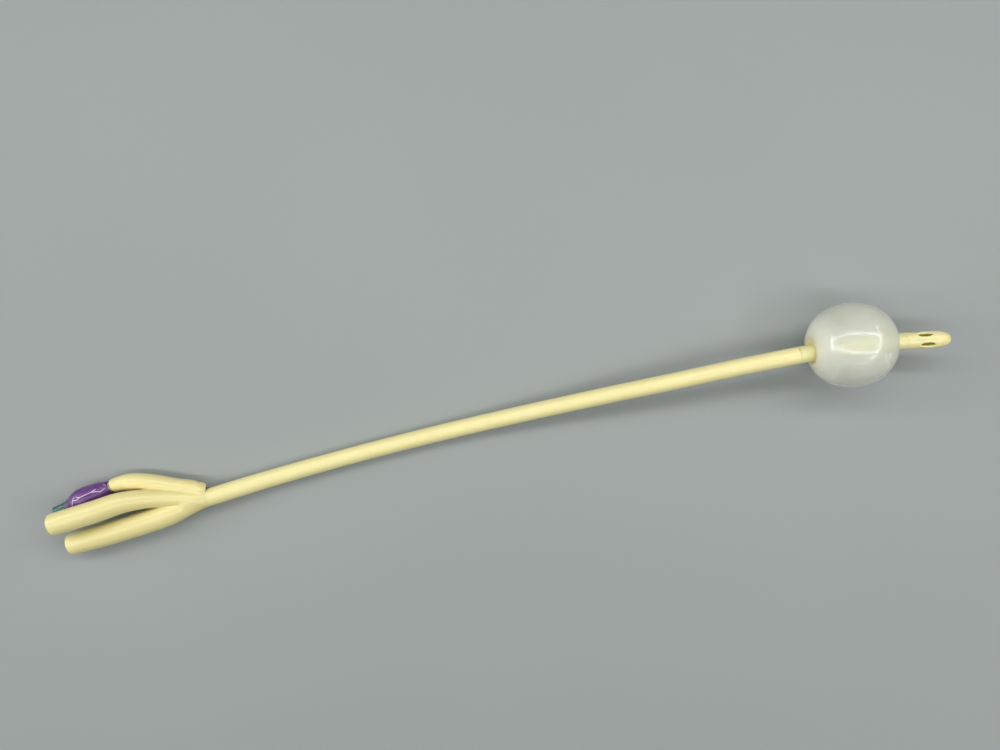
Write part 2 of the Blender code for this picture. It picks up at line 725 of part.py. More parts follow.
def valve_frame(fill_arm):
    """A frame at the mouth of the syringe port, whose +Z runs inward along the valve."""
    end = fill_arm.matrix(fill_arm.length)
    outward = end.to_3x3() @ Vector((0.0, 0.0, 1.0))
    left = Vector((0.0, 0.0, 1.0)).cross(outward).normalized()
    columns = Matrix((left, outward.cross(left), outward * -1.0)).transposed().to_4x4()
    mouth = end.translation + outward * (VALVE_LENGTH + FACE_GAP)
    return Matrix.Translation(mouth) @ columns


def build_housing(frame, finish):
    """The valve's housing: a syringe port with a tapered bore, and a chamber behind a flat seat."""
    port = PORT_DIAMETER / 2
    bore = PORT_BORE_DIAMETER / 2
    barrel = HOUSING_DIAMETER / 2
    throat = THROAT_DIAMETER / 2
    chamber = CHAMBER_DIAMETER / 2
    outline = [
        (bore + PORT_CHAMFER / 2, 0.0), (port - PORT_CHAMFER, 0.0), (port, PORT_CHAMFER),
        (port, PORT_LENGTH), (barrel - HOUSING_SHOULDER, SEAT_DEPTH - HOUSING_SHOULDER),
        (barrel, SEAT_DEPTH + HOUSING_SHOULDER), (HOUSING_END_DIAMETER / 2, HOUSING_LENGTH),
        (chamber, HOUSING_LENGTH), (chamber, SEAT_DEPTH), (throat, SEAT_DEPTH),
        (throat, PORT_BORE_DEPTH), (bore - PORT_TAPER / 2 * PORT_BORE_DEPTH, PORT_BORE_DEPTH),
        (bore, PORT_CHAMFER / 2),
    ]
    turned("valve_housing", outline, frame, TURNED_STEPS, CATHETER, finish)


def build_base(frame, finish):
    """The part that closes the housing: a web that guides the plunger, and the barbed tail."""
    plug = CHAMBER_DIAMETER / 2 - RUNNING_GAP
    flange = HOUSING_END_DIAMETER / 2
    cone_start = BASE_START + BASE_FLANGE
    cone_end = VALVE_LENGTH - FACE_GAP
    tail = TAIL_DIAMETER / 2
    bore = TAIL_BORE_DIAMETER / 2
    cavity = BASE_CAVITY_DIAMETER / 2
    guide = PLUNGER_GUIDE_DIAMETER / 2 + RUNNING_GAP
    tail_end = VALVE_LENGTH + FACE_GAP + TAIL_LENGTH
    outline = [
        (guide, WEB_START), (plug, WEB_START), (plug, BASE_START), (flange, BASE_START),
        (flange, cone_start), (BASE_NECK_DIAMETER / 2, cone_end), (tail, cone_end),
    ]
    barb = (TAIL_LENGTH - 2 * FACE_GAP) / BARB_COUNT
    for index in range(BARB_COUNT):
        start = VALVE_LENGTH + 2 * FACE_GAP + barb * index
        outline += [(tail, start), (tail + BARB_HEIGHT, start), (tail, start + barb * BARB_SLOPE)]
    outline += [
        (tail, tail_end), (bore, tail_end), (bore, cone_start + BASE_CAVITY_DEPTH),
        (cavity, cone_start), (cavity, BASE_START), (guide, BASE_START),
    ]
    base = turned("valve_base", outline, frame, TURNED_STEPS, CATHETER, finish)
    for index in range(FLOW_HOLE_COUNT):
        turn = 2.0 * math.pi * (index + 0.5) / FLOW_HOLE_COUNT
        place = Vector((math.cos(turn), math.sin(turn), 0.0)) * (FLOW_HOLE_CIRCLE / 2)
        place.z = WEB_START - CUT_PAST
        hole = frame @ Matrix.Translation(place)
        length = BASE_PLUG_LENGTH + 2 * CUT_PAST
        cut(base, pin(f"flow_hole_{index + 1}", FLOW_HOLE_DIAMETER / 2, length, hole, FLOW_HOLE_SIDES))


def build_plunger(frame, finish):
    """The plunger: a fluted stem in the port, a head behind the seal, and a guide stem."""
    stem = PLUNGER_STEM_DIAMETER / 2
    wide = PLUNGER_HEAD_DIAMETER / 2
    guide = PLUNGER_GUIDE_DIAMETER / 2
    guide_end = BASE_START - RUNNING_GAP
    head_end = HEAD_START + PLUNGER_HEAD
    outline = [
        (0.0, PLUNGER_REACH), (stem - PLUNGER_ROUND, PLUNGER_REACH), (stem, PLUNGER_REACH + PLUNGER_ROUND),
        (stem, HEAD_START), (wide, HEAD_START), (wide, head_end), (guide, head_end),
        (guide, guide_end - PLUNGER_ROUND), (guide - PLUNGER_ROUND, guide_end), (0.0, guide_end),
    ]
    plunger = turned("valve_plunger", outline, frame, TURNED_STEPS, CATHETER, finish, closed=False)
    length = SEAT_DEPTH - PLUNGER_FLUTE_SHORT - PLUNGER_REACH + CUT_PAST
    for index in range(PLUNGER_FLUTE_COUNT):
        turn = 2.0 * math.pi * index / PLUNGER_FLUTE_COUNT
        place = Vector((math.cos(turn), math.sin(turn), 0.0)) * stem
        place.z = PLUNGER_REACH - CUT_PAST
        flute = frame @ Matrix.Translation(place)
        cut(plunger, pin(f"flute_{index + 1}", PLUNGER_FLUTE_DIAMETER / 2, length, flute, PLUNGER_FLUTE_SIDES))


def build_seal(frame, finish):
    """The rubber ring round the stem, which the head presses on the seat."""
    inner = PLUNGER_STEM_DIAMETER / 2 + RUNNING_GAP
    outer = SEAL_DIAMETER / 2
    end = SEAL_START + SEAL_THICKNESS
    outline = [
        (inner, SEAL_START), (outer - SEAL_BEAD, SEAL_START), (outer, SEAL_START + SEAL_BEAD),
        (outer, end - SEAL_BEAD), (outer - SEAL_BEAD, end), (inner, end),
    ]
    turned("valve_seal", outline, frame, TURNED_STEPS, CATHETER, finish)


def build_spring(frame, finish):
    """The coil between the plunger's head and the web of the base, with its end turns pitched flat."""
    wire = SPRING_WIRE / 2
    start = HEAD_START + PLUNGER_HEAD + RUNNING_GAP + wire
    end = WEB_START - RUNNING_GAP - wire
    coil = SPRING_DIAMETER / 2 - wire
    points = round(SPRING_TURNS * SPRING_POINTS_PER_TURN)
    centres = []
    for index in range(points + 1):
        share = index / points
        turn = 2.0 * math.pi * SPRING_TURNS * share
        flat = SPRING_CLOSING * math.sin(2.0 * math.pi * share) / (2.0 * math.pi)
        depth = start + (end - start) * (share - flat)
        centres.append(frame @ Vector((coil * math.cos(turn), coil * math.sin(turn), depth)))
    swept("valve_spring", centres, [wire] * len(centres), SPRING_SIDES, CATHETER, finish)


def build_sleeve(frame, finish):
    """The violet sleeve shrunk over the valve, from the port's neck to the end of the arm."""
    port = PORT_DIAMETER / 2 + BOND_GAP
    barrel = HOUSING_DIAMETER / 2 + BOND_GAP
    flange = HOUSING_END_DIAMETER / 2 + BOND_GAP
    neck = BASE_NECK_DIAMETER / 2 + BOND_GAP
    inner = [
        (port, SLEEVE_START), (port, PORT_LENGTH - BOND_GAP),
        (barrel - HOUSING_SHOULDER, SEAT_DEPTH - HOUSING_SHOULDER), (barrel, SEAT_DEPTH + HOUSING_SHOULDER),
        (flange, HOUSING_LENGTH), (flange, BASE_START + BASE_FLANGE), (neck, VALVE_LENGTH - FACE_GAP),
    ]
    outer = [(radius + SLEEVE_WALL, depth) for radius, depth in inner]
    turned("valve_sleeve", inner + outer[::-1], frame, TURNED_STEPS, CATHETER, finish)


def arm_axes(route):
    """The axes of the drainage, the irrigation and the inflation arm."""
    drain = arm_route(route, [(x * MM, y * MM, HUB_RADIUS + rise * MM) for x, y, rise in DRAIN_ARM])
    rinse = arm_route(route, [(x * MM, y * MM, RINSE_LIE) for x, y in RINSE_ARM])
    heading = Vector((math.cos(VALVE_HEADING), math.sin(VALVE_HEADING), 0.0))
    fill_points = [(x * MM, y * MM, SLEEVE_RADIUS) for x, y in FILL_ARM]
    fill = arm_route(route, fill_points, beside=(FILL_START_LEFT, 0.0), back=FILL_START_BACK, end=heading)
    return drain, rinse, fill


def build():
    latex = material("latex", (0.83, 0.74, 0.42), 0.38)
    film = material("balloon_film", (0.80, 0.81, 0.70), 0.25, alpha=0.6, transmission=0.5)
    water = material("sterile_water", (0.85, 0.9, 0.9), 0.02, alpha=0.35, transmission=1.0)
    violet = material("violet_film", (0.16, 0.04, 0.36), 0.2)
    teal = material("teal_plastic", (0.03, 0.16, 0.17), 0.3)
    white = material("white_plastic", (0.80, 0.80, 0.78), 0.4)
    rubber = material("seal_rubber", (0.06, 0.06, 0.06), 0.6)
    steel = material("spring_steel", (0.60, 0.60, 0.62), 0.3, metallic=1.0)

    route = shaft_route()
    shaft = build_shaft(route, latex)
    build_tip(route, latex)
    build_balloon(route, film, water)
    arms = arm_axes(route)
    cut(shaft, build_hub(route, arms, latex))
    frame = valve_frame(arms[2])
    build_housing(frame, teal)
    build_base(frame, white)
    build_plunger(frame, white)
    build_seal(frame, rubber)
    build_spring(frame, steel)
    build_sleeve(frame, violet)


clear_scene()
CATHETER = new_collection("urinary_catheter")
CUTTERS = new_collection("cutters")
build()
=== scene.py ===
import math

import bmesh
import bpy
import numpy as np
from mathutils import Matrix, Vector


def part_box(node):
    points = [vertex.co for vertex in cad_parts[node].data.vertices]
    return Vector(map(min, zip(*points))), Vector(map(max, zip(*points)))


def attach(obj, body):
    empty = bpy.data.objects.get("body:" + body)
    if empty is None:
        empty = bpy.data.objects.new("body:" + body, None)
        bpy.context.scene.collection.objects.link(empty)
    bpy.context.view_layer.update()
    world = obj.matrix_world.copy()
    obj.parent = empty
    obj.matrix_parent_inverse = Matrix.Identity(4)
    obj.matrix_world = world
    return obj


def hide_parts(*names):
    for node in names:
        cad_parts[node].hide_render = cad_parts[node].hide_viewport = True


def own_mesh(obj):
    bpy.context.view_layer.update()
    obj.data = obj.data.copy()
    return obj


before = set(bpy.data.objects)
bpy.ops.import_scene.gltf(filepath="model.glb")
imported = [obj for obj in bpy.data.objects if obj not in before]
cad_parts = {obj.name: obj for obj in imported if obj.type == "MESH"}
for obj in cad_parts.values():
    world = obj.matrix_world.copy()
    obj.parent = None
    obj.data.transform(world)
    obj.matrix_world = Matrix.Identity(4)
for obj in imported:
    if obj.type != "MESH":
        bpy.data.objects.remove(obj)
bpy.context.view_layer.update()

# The finish of a three-way urinary balloon catheter. The frame's solids give the sizes and places,
# and the smooth latex, the filled balloon, the violet sleeve and the syringe port are made here.
# Units are metres. The routes and sizes in the next three groups repeat the solids' own.

MM = 0.001
UP = np.array((0.0, 0.0, 1.0))

# Shaft and tip
SHAFT_DIAMETER = 7.33 * MM
SHAFT_PLAN = [
    (-139.2, -1.2), (-131.2, -0.7), (-102.0, 1.1), (-65.0, 2.6), (-28.0, 3.3), (8.0, 3.3),
    (44.0, 2.9), (79.0, 2.2), (113.0, 1.6), (139.5, 0.6), (157.0, -0.5), (176.0, -3.2),
    (198.4, -7.2),
]
THICK_END_DIAMETER = 7.9 * MM
THICK_END_LENGTH = 70.0 * MM
LIFT_START_X = -38.0 * MM
LIFT_END_BEFORE_BALLOON = 10.3 * MM
HUB_DROP_LENGTH = 32.0 * MM
DRAIN_LUMEN_WIDTH = 4.1 * MM
DRAIN_LUMEN_HEIGHT = 2.9 * MM
DRAIN_LUMEN_PLACE = (0.0, 0.95 * MM)
RINSE_LUMEN_DIAMETER = 1.6 * MM
RINSE_LUMEN_PLACE = (-0.6 * MM, -1.75 * MM)
FILL_LUMEN_DIAMETER = 0.8 * MM
FILL_LUMEN_PLACE = (1.55 * MM, -1.35 * MM)
TIP_LENGTH = 20.0 * MM
TIP_EYE_DIAMETER = 7.9 * MM
TIP_NOSE_LENGTH = 8.6 * MM
TIP_SWELL_LENGTH = 9.0 * MM
TIP_JOINT_IN_COLLAR = 2.5 * MM
TIP_CAVITY_DIAMETER = 4.8 * MM
TIP_CAVITY_RISE = 0.6 * MM
TIP_CAVITY_TAPER = 2.0 * MM
TIP_CAVITY_ROUND = 1.2 * MM
EYE_FROM_END = 11.6 * MM
EYE_SIZE = (6.1 * MM, 2.0 * MM)
EYE_ANGLES = (math.radians(-50.0), math.radians(45.0))
EYE_STAGGER = 0.5 * MM
RINSE_EYE_SIZE = (4.0 * MM, 1.8 * MM)
RINSE_EYE_BACK = 1.0 * MM

# Balloon
BALLOON_DIAMETER = 36.0 * MM
BALLOON_CENTRE_X = 156.3 * MM
BALLOON_TO_LEFT = 0.5 * MM
BALLOON_FILM = 0.4 * MM
BALLOON_COLLAR = 5.0 * MM
BED_DEPTH = 0.6 * MM
BOND_GAP = 0.2 * MM

# Hub and valve
HUB_WALL = 1.15 * MM
HUB_SOCKET_DEPTH = 8.0 * MM
DRAIN_ARM = [
    (-137.8, 1.0, 0.5), (-145.7, 3.1, 1.8), (-156.4, 5.5, 4.0), (-165.0, 6.3, 6.0),
    (-175.7, 5.4, 7.9), (-184.5, 4.8, 8.8), (-194.9, 4.1, 9.4),
]
DRAIN_DIAMETERS = [(12.0, 7.4), (45.0, 9.8)]
RINSE_ARM = [
    (-136.5, -1.8), (-142.3, -2.7), (-151.7, -4.1), (-161.0, -4.9), (-176.4, -5.9), (-194.3, -6.7),
]
RINSE_DIAMETERS = [(2.0, 7.5), (19.0, 10.4), (45.0, 10.4), (62.0, 9.7)]
FILL_ARM = [
    (-136.5, 4.9), (-145.4, 8.5), (-151.5, 11.0), (-158.0, 13.2), (-164.8, 14.4), (-170.5, 14.1),
]
FILL_DIAMETERS = [(3.0, 6.8), (22.0, 7.6), (31.0, 7.6), (40.0, 6.2)]
FILL_START_LEFT = 3.3 * MM
FILL_START_BACK = 1.0 * MM
FILL_CHANNEL_DIAMETER = 0.9 * MM
FILL_CHANNEL_JOIN = 10.0 * MM
FUNNEL_WALL = 1.0 * MM
FUNNEL_THROAT_DIAMETER = 3.2 * MM
FUNNEL_BORE = (46.0 * MM, 16.0 * MM)
TAIL_LENGTH = 9.0 * MM
TAIL_BORE_DIAMETER = 3.9 * MM
VALVE_HEADING = math.radians(-167.0)
VALVE_LENGTH = 27.0 * MM
FACE_GAP = 0.3 * MM
PORT_LENGTH = 7.5 * MM
PORT_DIAMETER = 5.4 * MM
PORT_BORE_DIAMETER = 4.27 * MM
PORT_BORE_END_DIAMETER = 3.76 * MM
PORT_BORE_DEPTH = 8.5 * MM
THROAT_DIAMETER = 3.2 * MM
SEAT_DEPTH = 11.0 * MM
HOUSING_DIAMETER = 9.0 * MM
HOUSING_END_DIAMETER = 7.8 * MM
HOUSING_LENGTH = 20.5 * MM
CHAMBER_DIAMETER = 6.4 * MM
BASE_FLANGE_END = 21.8 * MM
BASE_NECK_DIAMETER = 4.4 * MM
SLEEVE_WALL = 0.35 * MM
SLEEVE_START = 6.5 * MM
SPRING_SPAN = (13.125 * MM, 18.325 * MM)

# Sizes that follow from the ones above
SHAFT_RADIUS = SHAFT_DIAMETER / 2
THICK_END_RADIUS = THICK_END_DIAMETER / 2
BED_RADIUS = SHAFT_RADIUS - BED_DEPTH
BALLOON_RADIUS = BALLOON_DIAMETER / 2
LIFT_END_X = BALLOON_CENTRE_X - LIFT_END_BEFORE_BALLOON
HUB_RADIUS = THICK_END_RADIUS + BOND_GAP + HUB_WALL
RINSE_LIE = max(diameter for _, diameter in RINSE_DIAMETERS) / 2 * MM
SLEEVE_RADIUS = HOUSING_DIAMETER / 2 + BOND_GAP + SLEEVE_WALL

# The hub and the tip are surfaces on a grid of cells: the margin round the solid, the cell's size
# and the rounds of evening out
HUB_MARGIN, HUB_GRID, HUB_ROUNDS = 1.5 * MM, 0.34 * MM, 6
TIP_MARGIN, TIP_GRID, TIP_ROUNDS = 0.8 * MM, 0.21 * MM, 5

# How round the edges and joins are, and how the tip departs from its solid
SHARP_ANGLE = math.radians(50.0)
RIM_ROUND = 1.3 * MM
RIM_GROOVE = 0.13 * MM
RIM_GROOVE_BACK = 1.5 * MM
TIP_SLIM = 0.935
TIP_SHORT = 0.4 * MM
TIP_BLEND = 5.0 * MM
NOSE_BLUNTNESS = 2.5
BORE_ROUND = 0.5 * MM
EYE_ROUND = 0.3 * MM
ARM_FILLET = 0.4 * MM

# The hub's mouth is turned and tilted off square to the shaft, and closes on the shaft in a lip.
# Its barrel, the core, is given by rows of (millimetres along the shaft, share of the core's
# diameter, share of its offset to the left).
MOUTH_TURN = math.radians(-15.0)
MOUTH_TILT = math.radians(20.0)
CORE_DIAMETER = 9.3 * MM
CORE_TO_LEFT = 0.4 * MM
CORE_ROWS = [
    (-7.0, 0.35, 1.0), (-3.5, 0.8, 1.0), (-1.0, 1.0, 1.0), (3.5, 1.0, 1.0), (9.0, 0.87, 0.1),
    (14.0, 0.87, 0.1),
]
LIP_AHEAD = 0.8 * MM
LIP_LENGTH = 3.0 * MM
LIP_HEIGHT = 3.7 * MM
LIP_SLOPE = 0.6
LIP_OPENING = 14.0 * MM
# The drainage arm's root stands over the others by a rise that comes and fades along it
ROOT_RISE = 1.2 * MM
ROOT_RISE_START = 4.5 * MM
ROOT_RISE_LENGTH = 14.0 * MM
ROOT_SWELL = 1.06
# The inflation arm's root: (along the shaft, to its left, radius) in millimetres, and then a place
# along the arm with its radius
SHOULDER_ROWS = [(7.0, 3.65, 3.9), (4.8, 5.3, 3.85)]
SHOULDER_END = (8.0 * MM, 3.6 * MM)
# Soft latex closes on what it holds: the shaft in the socket, and the valve's tail in its bore
SOCKET_GRIP = 0.4 * MM
SOCKET_GRIP_LENGTH = 3.0 * MM
TAIL_BITE = 0.35 * MM

# The filled balloon is fuller than a ball between its poles and its middle: its outline is a
# curve of this power, where 2 is a circle
BALLOON_FULLNESS = 2.2
BALLOON_SIDES = 144

# Camera, straight above the table
CAMERA_PLACE = (8.1 * MM, 22.2 * MM, 336.0 * MM)
CAMERA_TURN = math.radians(-13.4)
CAMERA_SENSOR = 36.0
CAMERA_FOCAL_SHARE = 0.747

# Lamps: four long strips in a frame over the table, each from one end to the other with its width
# and how strong it is
STRIP_HEIGHT = 0.6
STRIPS = {
    "strip_left": ((-1.29, 0.71), (0.79, 0.15), 0.085, 8.9),
    "strip_right": ((-1.45, 0.21), (0.58, -0.35), 0.08, 6.9),
    "strip_front": ((1.07, 0.65), (0.46, -0.62), 0.08, 7.4),
    "strip_back": ((-1.42, 1.06), (-1.49, -0.05), 0.12, 15.0),
}
SKY_STRENGTH = 0.08
FLOOR_COLOUR = (0.325, 0.35, 0.342)
FLOOR_SIZE = 6.0
# Past these distances the camera sees the backdrop's colour, which is that of the lit table
BACKDROP_REACH = (0.35, 0.8)
BACKDROP_COLOUR = (0.371, 0.40, 0.391)


def between(distance, start, end, first, last):
    """A size that goes smoothly from first at start to last at end, and is even outside them."""
    share = np.clip((distance - start) / (end - start), 0.0, 1.0)
    return first + (last - first) * share * share * (3.0 - 2.0 * share)


def radius_from(diameters, distance):
    """Half the diameter at a distance along an arm, from (distance, diameter) in millimetres."""
    reached, last = diameters[0]
    for following, diameter in diameters[1:]:
        if distance <= following * MM:
            return between(distance, reached * MM, following * MM, last, diameter) / 2 * MM
        reached, last = following, diameter
    return last / 2 * MM


class Route:
    """A smooth curve through points, read by the distance from its first point."""

    SAMPLES = 14

    def __init__(self, points, start=None, end=None):
        points = np.array(points)
        spans = np.linalg.norm(np.diff(points, axis=0), axis=1)
        slopes = np.diff(points, axis=0) / spans[:, None]
        tangents = [slopes[0] if start is None else start]
        for index in range(1, len(points) - 1):
            before, after = spans[index - 1], spans[index]
            tangents.append((slopes[index - 1] * after + slopes[index] * before) / (before + after))
        tangents.append(slopes[-1] if end is None else end)
        samples = [points[0]]
        for index, span in enumerate(spans):
            for step in range(1, self.SAMPLES + 1):
                t = step / self.SAMPLES
                rise = t * t * (3.0 - 2.0 * t)
                place = points[index] * (1.0 - rise) + points[index + 1] * rise
                leave = tangents[index] * (span * t * (1.0 - t) * (1.0 - t))
                arrive = tangents[index + 1] * (span * t * t * (t - 1.0))
                samples.append(place + leave + arrive)
        self.set_samples(np.array(samples))

    def set_samples(self, samples):
        self.samples = samples
        steps = np.linalg.norm(np.diff(samples, axis=0), axis=1)
        self.distances = np.concatenate(([0.0], np.cumsum(steps)))
        self.length = self.distances[-1]

    def point(self, distance):
        """The place at a distance, carried on straight past either end."""
        index = int(np.clip(np.searchsorted(self.distances, distance) - 1, 0, len(self.samples) - 2))
        span = self.distances[index + 1] - self.distances[index]
        share = (distance - self.distances[index]) / span
        return self.samples[index] * (1.0 - share) + self.samples[index + 1] * share

    def direction(self, distance):
        reach = 0.4 * MM
        ahead = self.point(distance + reach) - self.point(distance - reach)
        return ahead / np.linalg.norm(ahead)

    def sides(self, distance):
        """The directions to the left of the route and up from it."""
        ahead = self.direction(distance)
        left = np.cross(UP, ahead)
        left /= np.linalg.norm(left)
        return left, np.cross(ahead, left)

    def beside(self, distance, place):
        """The point at a place (left, up) beside the route."""
        left, up = self.sides(distance)
        return self.point(distance) + left * place[0] + up * place[1]

    def at_x(self, x):
        return float(np.interp(x, self.samples[:, 0], self.distances))


def stations(start, end, spacing):
    """Distances from start to end, evenly spaced by about the spacing."""
    return np.linspace(start, end, max(1, round(abs(end - start) / spacing)) + 1)


def shaft_radius(distance):
    start = HUB_SOCKET_DEPTH
    return between(distance, start, start + THICK_END_LENGTH, THICK_END_RADIUS, SHAFT_RADIUS)


def shaft_height(x):
    """The height of the shaft's axis: down from the hub, along the table, and up to the balloon."""
    start = SHAFT_PLAN[0][0] * MM
    mouth = start + HUB_SOCKET_DEPTH
    low = between(x, mouth, mouth + HUB_DROP_LENGTH, HUB_RADIUS, shaft_radius(x - start))
    return between(x, LIFT_START_X, LIFT_END_X, low, BALLOON_RADIUS)


def shaft_route():
    route = Route([(x * MM, y * MM, 0.0) for x, y in SHAFT_PLAN])
    samples = route.samples.copy()
    samples[:, 2] = [shaft_height(x) for x in samples[:, 0]]
    route.set_samples(samples)
    return route


def balloon_span(route):
    """Distances of the balloon's centre and of the outer ends of its two collars."""
    centre = route.at_x(BALLOON_CENTRE_X)
    reach = math.sqrt(BALLOON_RADIUS**2 - SHAFT_RADIUS**2) + BALLOON_COLLAR
    return centre, centre - reach, centre + reach


def arm_routes(route):
    """The axes of the drainage, the irrigation and the inflation arm."""
    back = -route.direction(HUB_SOCKET_DEPTH)
    mouth = route.point(HUB_SOCKET_DEPTH)
    drain_points = [(x * MM, y * MM, HUB_RADIUS + rise * MM) for x, y, rise in DRAIN_ARM]
    drain = Route([mouth] + drain_points, back)
    rinse = Route([mouth] + [(x * MM, y * MM, RINSE_LIE) for x, y in RINSE_ARM], back)
    heading = np.array((math.cos(VALVE_HEADING), math.sin(VALVE_HEADING), 0.0))
    fill_distance = HUB_SOCKET_DEPTH - FILL_START_BACK
    fill_root = route.beside(fill_distance, (FILL_START_LEFT, 0.0))
    fill_points = [(x * MM, y * MM, SLEEVE_RADIUS) for x, y in FILL_ARM]
    fill = Route([fill_root] + fill_points, -route.direction(fill_distance), heading)
    return drain, rinse, fill


class Tube:
    """A tube's field: how far points lie outside its wall, and the direction away from its axis."""

    def __init__(self, centres, radii):
        self.centres = np.array(centres)
        self.radii = np.array(radii)

    @classmethod
    def along(cls, route, distances, radius_at):
        return cls([route.point(d) for d in distances], [radius_at(d) for d in distances])

    def __call__(self, points):
        start = self.centres[:-1]
        run = self.centres[1:] - start
        square = (run * run).sum(axis=1)
        from_start = points @ run.T - (start * run).sum(axis=1)
        share = np.clip(from_start / square, 0.0, 1.0)
        apart = (points * points).sum(axis=1)[:, None] - 2.0 * (points @ start.T)
        apart += (start * start).sum(axis=1)
        best = (apart + share * (share * square - 2.0 * from_start)).argmin(axis=1)
        share = share[np.arange(len(points)), best]
        offset = points - start[best] - share[:, None] * run[best]
        reach = np.linalg.norm(offset, axis=1) + 1e-12
        radius = self.radii[best] * (1.0 - share) + self.radii[best + 1] * share
        return reach - radius, offset / reach[:, None]


class Plane:
    """A flat end's field: how far points lie past a place along a direction."""

    def __init__(self, place, direction):
        self.place = np.array(place)
        self.direction = np.array(direction)

    def __call__(self, points):
        return (points - self.place) @ self.direction, np.tile(self.direction, (len(points), 1))


class Bell:
    """A rounded mouth's field: how far points lie outside a bell that opens away from its lip."""

    def __init__(self, axis, place, direction, least):
        self.axis = axis
        self.end = Plane(place, direction)
        self.least = least

    def __call__(self, points):
        across, away = self.axis(points)
        depth = -self.end(points)[0]
        share = np.clip(1.0 - depth / LIP_LENGTH, 0.0, 0.998)
        curve = np.sqrt(1.0 - share * share)
        past = np.maximum(depth - LIP_LENGTH, 0.0)
        reach = self.least + LIP_HEIGHT * curve + LIP_SLOPE * past + past * past / LIP_OPENING
        lip_slope = LIP_HEIGHT / LIP_LENGTH * share / curve
        slope = np.where(depth < LIP_LENGTH, lip_slope, LIP_SLOPE + 2.0 * past / LIP_OPENING)
        gradient = away + slope[:, None] * self.end.direction
        steepness = np.linalg.norm(gradient, axis=1)
        return (across - reach) / steepness, gradient / steepness[:, None]


class Eye:
    """An oval hole's field, from a place inside the tip out through its wall."""

    def __init__(self, place, ahead, outward, size):
        self.place = place
        self.axes = np.array((ahead, np.cross(outward, ahead), outward))
        self.half = np.array(size) / 2

    def __call__(self, points):
        local = (points - self.place) @ self.axes.T
        flat = local[:, :2]
        ratio = np.sqrt(((flat / self.half) ** 2).sum(axis=1)) + 1e-9
        slope = flat / self.half**2 / ratio[:, None]
        steepness = np.linalg.norm(slope, axis=1) + 1e-9
        value = (ratio - 1.0) / steepness
        away = (slope / steepness[:, None]) @ self.axes[:2]
        behind = -local[:, 2] > value
        value[behind] = -local[behind, 2]
        away[behind] = -self.axes[2]
        return value, away


def joined(first, second, round_size):
    """The field of two shapes together, with a fillet where they meet."""
    (a, a_away), (b, b_away) = first, second
    share = np.clip(0.5 + 0.5 * (b - a) / round_size, 0.0, 1.0)
    value = b * (1.0 - share) + a * share - round_size * share * (1.0 - share)
    return value, b_away * (1.0 - share)[:, None] + a_away * share[:, None]


def without(first, second, round_size):
    """The field of the first shape cut by the second, with a rounded edge."""
    value, away = joined((-first[0], -first[1]), second, round_size)
    return -value, -away


def limited(first, second, round_size):
    """The field of what lies inside both shapes, with a rounded edge."""
    return without(first, (-second[0], -second[1]), round_size)


def in_chunks(field, points, size=12000):
    values = np.empty(len(points))
    aways = np.empty((len(points), 3))
    for start in range(0, len(points), size):
        values[start:start + size], aways[start:start + size] = field(points[start:start + size])
    return values, aways


def surface_net(field, low, high, step):
    """The corners and quads of the surface where a field is zero, on a grid of cells."""
    counts = np.ceil((np.array(high) - low) / step).astype(int) + 1
    axes = [low[axis] + step * np.arange(counts[axis]) for axis in range(3)]
    grid = np.stack(np.meshgrid(*axes, indexing="ij"), axis=-1).reshape(-1, 3)
    values = in_chunks(field, grid)[0].reshape(counts)
    inside = values < 0.0
    cells = tuple(counts - 1)
    corner = {}
    for offset in np.ndindex(2, 2, 2):
        window = tuple(slice(offset[axis], offset[axis] + cells[axis]) for axis in range(3))
        corner[offset] = (values[window], inside[window])
    total = sum(value[1].astype(int) for value in corner.values())
    active = (total > 0) & (total < 8)
    number = np.full(cells, -1)
    number[active] = np.arange(active.sum())

    place = np.zeros((active.sum(), 3))
    crossings = np.zeros(active.sum())
    for first in corner:
        for axis in range(3):
            if first[axis] == 1:
                continue
            second = tuple(1 if index == axis else first[index] for index in range(3))
            a, b = corner[first][0][active], corner[second][0][active]
            crossed = (a < 0.0) != (b < 0.0)
            share = a[crossed] / (a[crossed] - b[crossed])
            here = np.tile(np.array(first, dtype=float), (crossed.sum(), 1))
            here[:, axis] = share
            place[crossed] += here
            crossings[crossed] += 1.0
    corners = np.array(low) + step * (np.argwhere(active) + place / crossings[:, None])

    quads = []
    for axis in range(3):
        u, v = (axis + 1) % 3, (axis + 2) % 3
        ahead = np.roll(inside, -1, axis=axis)
        changed = inside != ahead
        spots = np.argwhere(changed)
        limit = np.array(cells)
        fits = (spots[:, axis] < limit[axis]) & (spots[:, u] > 0) & (spots[:, v] > 0)
        fits &= (spots[:, u] < limit[u]) & (spots[:, v] < limit[v])
        spots = spots[fits]
        back_u, back_v = np.eye(3, dtype=int)[u], np.eye(3, dtype=int)[v]
        ring = [spots, spots - back_u, spots - back_u - back_v, spots - back_v]
        faces = np.stack([number[tuple(cell.T)] for cell in ring], axis=1)
        outward = inside[tuple(spots.T)]
        faces[~outward] = faces[~outward][:, ::-1]
        quads.append(faces)
    return corners, np.concatenate(quads)


def settle(field, corners, quads, rounds):
    """Evens out a net's corners and puts each on the surface."""
    pairs = np.concatenate([quads[:, (side, (side + 1) % 4)] for side in range(4)])
    neighbours = np.bincount(pairs[:, 0], minlength=len(corners)).astype(float)
    for _ in range(rounds):
        mean = np.zeros_like(corners)
        for axis in range(3):
            mean[:, axis] = np.bincount(pairs[:, 0], corners[pairs[:, 1], axis], len(corners))
        mean /= neighbours[:, None]
        corners = corners * 0.4 + mean * 0.6
        for _ in range(2):
            value, away = in_chunks(field, corners)
            square = np.maximum((away * away).sum(axis=1), 0.25)
            corners = corners - away * (value / square)[:, None]
    return corners


